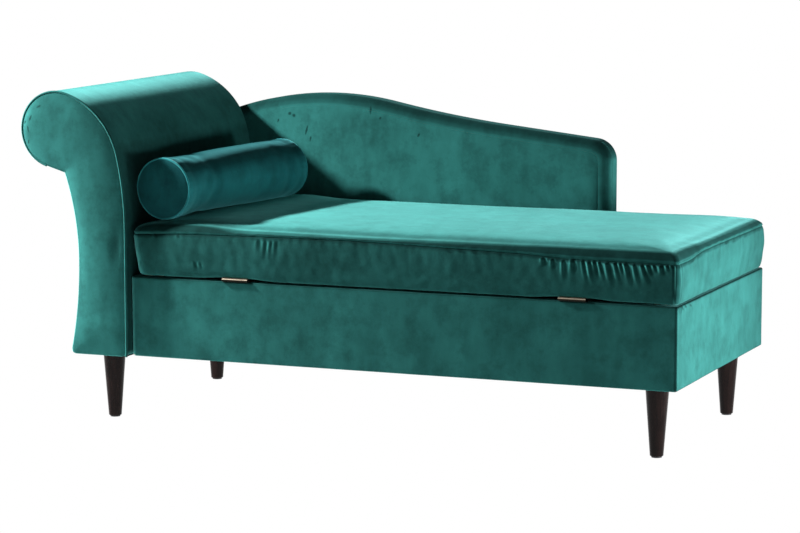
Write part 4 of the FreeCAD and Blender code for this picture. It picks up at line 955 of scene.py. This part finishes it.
def seat_relief(grid, ways, rises):
    """Seam, puffed edges, gathers and slight waves of the seat's velvet."""
    rise = rises[:, None]
    x, y = grid[..., 0], grid[..., 1]
    seam = np.interp(x, *(np.array(SEAM_HEIGHTS).T * MM)) - SEAT_LOW
    front_share = 1 - smooth_step(60 * MM, 200 * MM, y)
    seam = seam * front_share + (420 * MM - SEAT_LOW) * (1 - front_share)
    lift = np.interp(rise, [0, SEAM_RISE, CREST_RISE], [0, 1, 0]) * (seam - SEAM_RISE)
    near_head = (1 - smooth_step(150 * MM, 270 * MM, x)) * smooth_step(SEAM_RISE, CREST_RISE, rise)
    far_in = smooth_step(0.0, 160 * MM, np.minimum(y, DEPTH - y))
    lift += 7.5 * MM * near_head * (1 - 0.6 * far_in)
    flat = grid.reshape(-1, 3)
    broad = noise_at(flat, 4.5, 5).reshape(x.shape)
    fine = noise_at(flat, 22.0, 6).reshape(x.shape)
    crown = smooth_step(CREST_RISE - 6 * MM, CREST_RISE, rise)
    lift += crown * (broad * 1.6 + fine * 0.35) * MM
    out = (1 - crown) * (broad * 1.0 + fine * 0.4) * MM
    at_end = smooth_step(LENGTH - 22 * MM, LENGTH - 6 * MM, x)
    out -= (2.0 - 1.2 * at_end) * MM * bell(rise, SEAM_RISE, 1.7 * MM)
    out += 0.9 * MM * bell(rise, SEAM_RISE + 6 * MM, 5 * MM)
    out += 0.8 * MM * bell(rise, SEAM_RISE - 7 * MM, 6 * MM)
    hang = np.clip((SEAM_RISE - rise) / (18 * MM), 0, 1)
    pucker = noise_at(flat * (1, 1, 0.12), 95.0, 7).reshape(x.shape)
    out += 0.7 * MM * pucker * smooth_step(0, 0.12, hang) * (1 - hang)
    corner = bell(x, LENGTH - 6 * MM, 2.2 * MM) + bell(y, 13 * MM, 2.2 * MM) * (x > LENGTH - 10 * MM)
    band = smooth_step(SEAM_RISE + 4 * MM, SEAM_RISE - 2 * MM, rise)
    out -= 1.3 * MM * corner * band * (y < 30 * MM)
    z = SEAT_LOW + rise + lift
    front = ways[..., 1] < -0.8
    for index, (top_x, top_z, low_x, low_z) in enumerate(GATHERS):
        uneven = 0.5 + 0.5 * math.sin(index * 2.3)
        share = (top_z * MM - z) / ((top_z - low_z) * MM)
        middle = (top_x + (low_x - top_x) * share * 0.6 + 2.4 * math.sin(index * 4.7)) * MM
        size = smooth_step(-0.05, 0.12, share) * (1 - smooth_step(0.2, 1.0, share))
        width = (2.5 + 1.2 * uneven + 2.0 * np.clip(share, 0, 1)) * MM
        fold = bell(x, middle, width) - 0.75 * bell(x, middle + 2.1 * width, width)
        tall = (1.5 + 0.9 * uneven) if low_x > 940 else 0.9
        out += np.where(front, tall * MM * size * fold, 0)
    moved = grid + ways * out[..., None]
    moved[..., 2] += lift
    moved[..., 2] -= sole_drop(x, y) * (1 - smooth_step(0.0, 22 * MM, rise))
    return moved


def sole_drop(x, y):
    """How far the velvet hangs over the gap above the box; it stays clear of the hinges."""
    from_hinge = np.minimum(*(np.abs(x - place) for place in (HINGE_HEAD, HINGE_FOOT)))
    at_front = 3.6 * MM * smooth_step(32 * MM, 95 * MM, from_hinge)
    at_front = at_front + (4.5 * MM - at_front) * smooth_step(LENGTH - 60 * MM, LENGTH - 8 * MM, x)
    return np.where(y < 60 * MM, at_front, 4.5 * MM)


def seat_padding(grid, ways, rises):
    """The seat before its seam: it starts a little slack and its cloth swells it."""
    slack = SEAT_SLACK * smooth_step(4 * MM, 30 * MM, rises)[:, None]
    over = smooth_step(SEAM_RISE, CREST_RISE, rises)[:, None]
    start = grid - ways * (slack * (1 - over))[..., None]
    start[..., 2] -= slack * over
    moves = swell_rings(start, 3, 6, (0,), SEAT_CAP, 0.5, 0.015)
    crown = rises >= CREST_RISE - 1 * MM
    rise = smooth_surface(grid[crown], moves[crown][..., 2], grid)
    above = smooth_step(SEAM_RISE, CREST_RISE, rises)[:, None, None]
    return start + moves * (1 - above) + rise[..., None] * above * (0, 0, 1)


def smooth_surface(places, heights, everywhere):
    """A smooth surface over x and y through scattered heights, so no grid line shows in the crown."""
    def powers(spots):
        x, y = (spots[..., 0] / LENGTH - 0.5).ravel(), (spots[..., 1] / DEPTH - 0.5).ravel()
        return np.stack([x ** i * y ** j for i in range(5) for j in range(5 - i)], axis=1)
    share, *_ = np.linalg.lstsq(powers(places), heights.ravel(), rcond=None)
    return (powers(everywhere) @ share).reshape(everywhere.shape[:2])


def make_seat():
    grid, ways, rises = seat_grid()
    grid = seat_padding(grid, ways, rises)
    grid = seat_relief(grid, ways, rises)
    count = grid.shape[1]
    sole = []
    for inset in (34 * MM, 14 * MM):
        far = DEPTH - SEAT_BACK_GAP - inset
        points, _ = plan_ring(SEAT_PLAN, SEAT_HEAD_GAP + inset, inset, LENGTH - inset, far, [6 * MM] * 4)
        ring = at_height(points, SEAT_LOW)
        ring[:, 2] -= sole_drop(points[:, 0], points[:, 1]) * (1 if inset < 20 * MM else 0.3)
        sole.append(ring)
    points, faces = stack(sole + list(grid))
    last = len(points) - count
    faces.append(tuple(range(last, last + count)))
    piece = mesh_piece("seat_velvet", points, faces, "lid")
    dress(piece, "velvet", SEAT_VELVET)
    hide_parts("seat_cover", "seat_foam")
    make_seat_stitches(grid, ways, rises)


def make_seat_stitches(grid, ways, rises):
    """The top stitching that runs round the seat just above its seam."""
    row = int(np.argmin(np.abs(rises - (SEAM_RISE + 3.2 * MM))))
    loop, outs = (np.concatenate([rows[row], rows[row, :1]]) for rows in (grid, ways))
    steps = lengths_along(loop)
    marks = np.arange(0, steps[-1] - 4 * MM, 4.6 * MM)
    ends = at_lengths(loop, steps, marks + 3.1 * MM)
    stitches("seat_top_stitching", at_lengths(loop, steps, marks), ends, at_lengths(outs, steps, marks),
             0.7 * MM, "lid")


def curve_through(knots, count):
    """Points on a smooth curve through all the knots."""
    knots = np.array(knots, float)
    padded = np.concatenate([[2 * knots[0] - knots[1]], knots, [2 * knots[-1] - knots[-2]]])
    spans = len(knots) - 1
    result = []
    for value in np.linspace(0, spans, count):
        index = min(int(value), spans - 1)
        t = value - index
        a, b, c, e = padded[index:index + 4]
        result.append(tuple(0.5 * (2 * b + (c - a) * t + (2 * a - 5 * b + 4 * c - e) * t ** 2
                                   + (3 * b - a - 3 * c + e) * t ** 3)))
    return result


BOLSTER = Sizes(radius=67.5 * MM, length=530 * MM, turn=5.84, dome=6 * MM, bead=5 * MM, slack=3 * MM,
                cap=4.2 * MM, growth=0.03)
BOLSTER_AXIS = np.append(polar(90 - BOLSTER.turn), 0)
BOLSTER_START = np.mean(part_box("bolster_cover"), axis=0) - BOLSTER_AXIS * BOLSTER.length / 2


def bolster_rays():
    """The ways from the bolster's axis out to each point of a ring."""
    return arc_points((0, 0), 1, 0, 360, 180) @ [np.append(polar(-BOLSTER.turn), 0), (0, 0, 1)]


def bolster_swell(alongs, rays):
    """How far the padding pushes the tube out, less the slack that its cloth starts with."""
    from_end = np.minimum(alongs - alongs[0], alongs[-1] - alongs)
    slack = BOLSTER.slack * smooth_step(0, 30 * MM, from_end)[:, None]
    sizes = BOLSTER.radius - slack
    centres = BOLSTER_START + BOLSTER_AXIS * alongs[:, None]
    plain = centres[:, None] + rays * sizes[:, None]
    moves = swell_rings(plain, 3, 3, (0, len(alongs) - 1), BOLSTER.cap, 0.0, BOLSTER.growth)
    clear_of_seat = 0.8 * MM * (rays[:, 2] > -0.75)
    swelled = np.minimum((moves * rays).sum(axis=-1), slack + clear_of_seat) - slack
    return swelled * smooth_step(0, 60 * MM, from_end)[:, None]


def make_bolster():
    rays = bolster_rays()
    shoulder = BOLSTER.dome + BOLSTER.bead * 0.7
    alongs = np.linspace(shoulder, BOLSTER.length - shoulder, 150)
    rings = []
    for along, swell in zip(alongs, bolster_swell(alongs, rays)):
        ring = BOLSTER_START + BOLSTER_AXIS * along + rays * BOLSTER.radius
        ends = min(along, BOLSTER.length - along) - BOLSTER.dome
        draw = 1.0 * MM * math.exp(-ends / (5 * MM))
        waves = noise_at(ring * (1, 0.5, 1), 14.0, 8) * 1.1 * MM
        puckers = noise_at(rays * 9 + along, 1.0, 9) * 0.9 * MM * math.exp(-ends / (22 * MM))
        rings.append(ring + rays * (waves + puckers - draw + swell)[:, None])
    piece = mesh_piece("bolster_tube", *stack(rings), "bolster", origin=NOWHERE)
    dress(piece, "bolster_velvet")
    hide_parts("bolster_cover", "bolster_filling")
    make_bolster_end("front", 0.0, 1, rays)
    make_bolster_end("rear", BOLSTER.length, -1, rays)


def make_bolster_end(name, begin, way, rays):
    """A round end panel, domed outward and sewn in at its piping."""
    rim = BOLSTER.radius - BOLSTER.bead * 0.8
    rings = []
    for size in rim * np.sin(np.linspace(0.02, math.pi / 2, 30)):
        along = begin + way * BOLSTER.dome * (size / rim) ** 4
        ring = BOLSTER_START + BOLSTER_AXIS * along + rays * size
        rings.append(ring + BOLSTER_AXIS * noise_at(ring, 24.0, 10)[:, None] * 0.7 * MM)
    points, faces = stack(rings)
    faces.append(tuple(range(len(rays))))
    disc = mesh_piece(f"bolster_end_{name}", points, faces, "bolster", origin=NOWHERE)
    dress(disc, "bolster_velvet", DISC_VELVET)
    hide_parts(f"bolster_{name}_panel")


def make_stage():
    reach = FLOOR_REACH
    corners = [(-reach, -reach, 0), (reach, -reach, 0), (reach, reach, 0), (-reach, reach, 0)]
    floor = mesh_piece("floor", corners, [(0, 1, 2, 3)], None, NOWHERE)
    n = material_nodes("floor_white")
    n.show_directly(n.tree.nodes["Principled BSDF"], n.new("ShaderNodeEmission"), "Material Output")
    floor.data.materials.append(n.finish(grey(0.8), 0.9))


def make_world():
    scene.world = bpy.data.worlds.new("studio")
    n = Nodes(scene.world)
    soft, white = n.tree.nodes["Background"], n.new("ShaderNodeBackground")
    for node, strength in ((soft, FILL_STRENGTH), (white, 1.0)):
        n.put(grey(1.0), node.inputs["Color"])
        n.put(strength, node.inputs["Strength"])
    n.show_directly(soft, white, "World Output")


def make_lamp(name, place, target, size, power):
    light = bpy.data.lights.new(name, "AREA")
    light.shape, light.size, light.energy = "DISK", size, power
    piece = add_object(name, light)
    piece.location = Vector(place) + ORIGIN
    piece.rotation_euler = (Vector(target) - Vector(place)).to_track_quat("-Z", "Y").to_euler()


def make_camera():
    camera = bpy.data.cameras.new("camera")
    camera.sensor_width = 36.0
    camera.lens = camera.sensor_width * FOCAL_PIXELS / PICTURE_WIDTH
    camera.clip_end = 50.0
    piece = add_object("camera", camera)
    piece.location = Vector(CAMERA_PLACE) + ORIGIN
    piece.rotation_euler = (math.pi / 2 - CAMERA_PITCH, 0, CAMERA_YAW)
    scene.camera = piece


# Places of the lamps and the camera are measured from the box's corner
CAMERA_PLACE = (2.97306, -5.80310, 1.21896)
CAMERA_YAW, CAMERA_PITCH = 0.3835, 0.1336
FOCAL_PIXELS, PICTURE_WIDTH = 3017.5, 800
FLOOR_REACH = 30.0
FILL_STRENGTH = 0.03
# Name, place, target, size and power
LAMPS = (
    ("key", (-1.163, -0.27, 1.461), (0.5, 0.3, 0.35), 0.12, 100),
    ("front", (0.3, -3.4, 0.5), (0.3, 0.0, 0.35), 1.2, 2.5),
    ("foot_side", (2.3, 0.15, 0.36), (1.24, 0.33, 0.3), 0.4, 26),
)

make_camera()
scene.view_settings.view_transform = "Standard"
make_stage()
make_world()
for row in LAMPS:
    make_lamp(*row)
dress_frame()
make_head()
make_back()
make_box()
make_seat()
make_bolster()
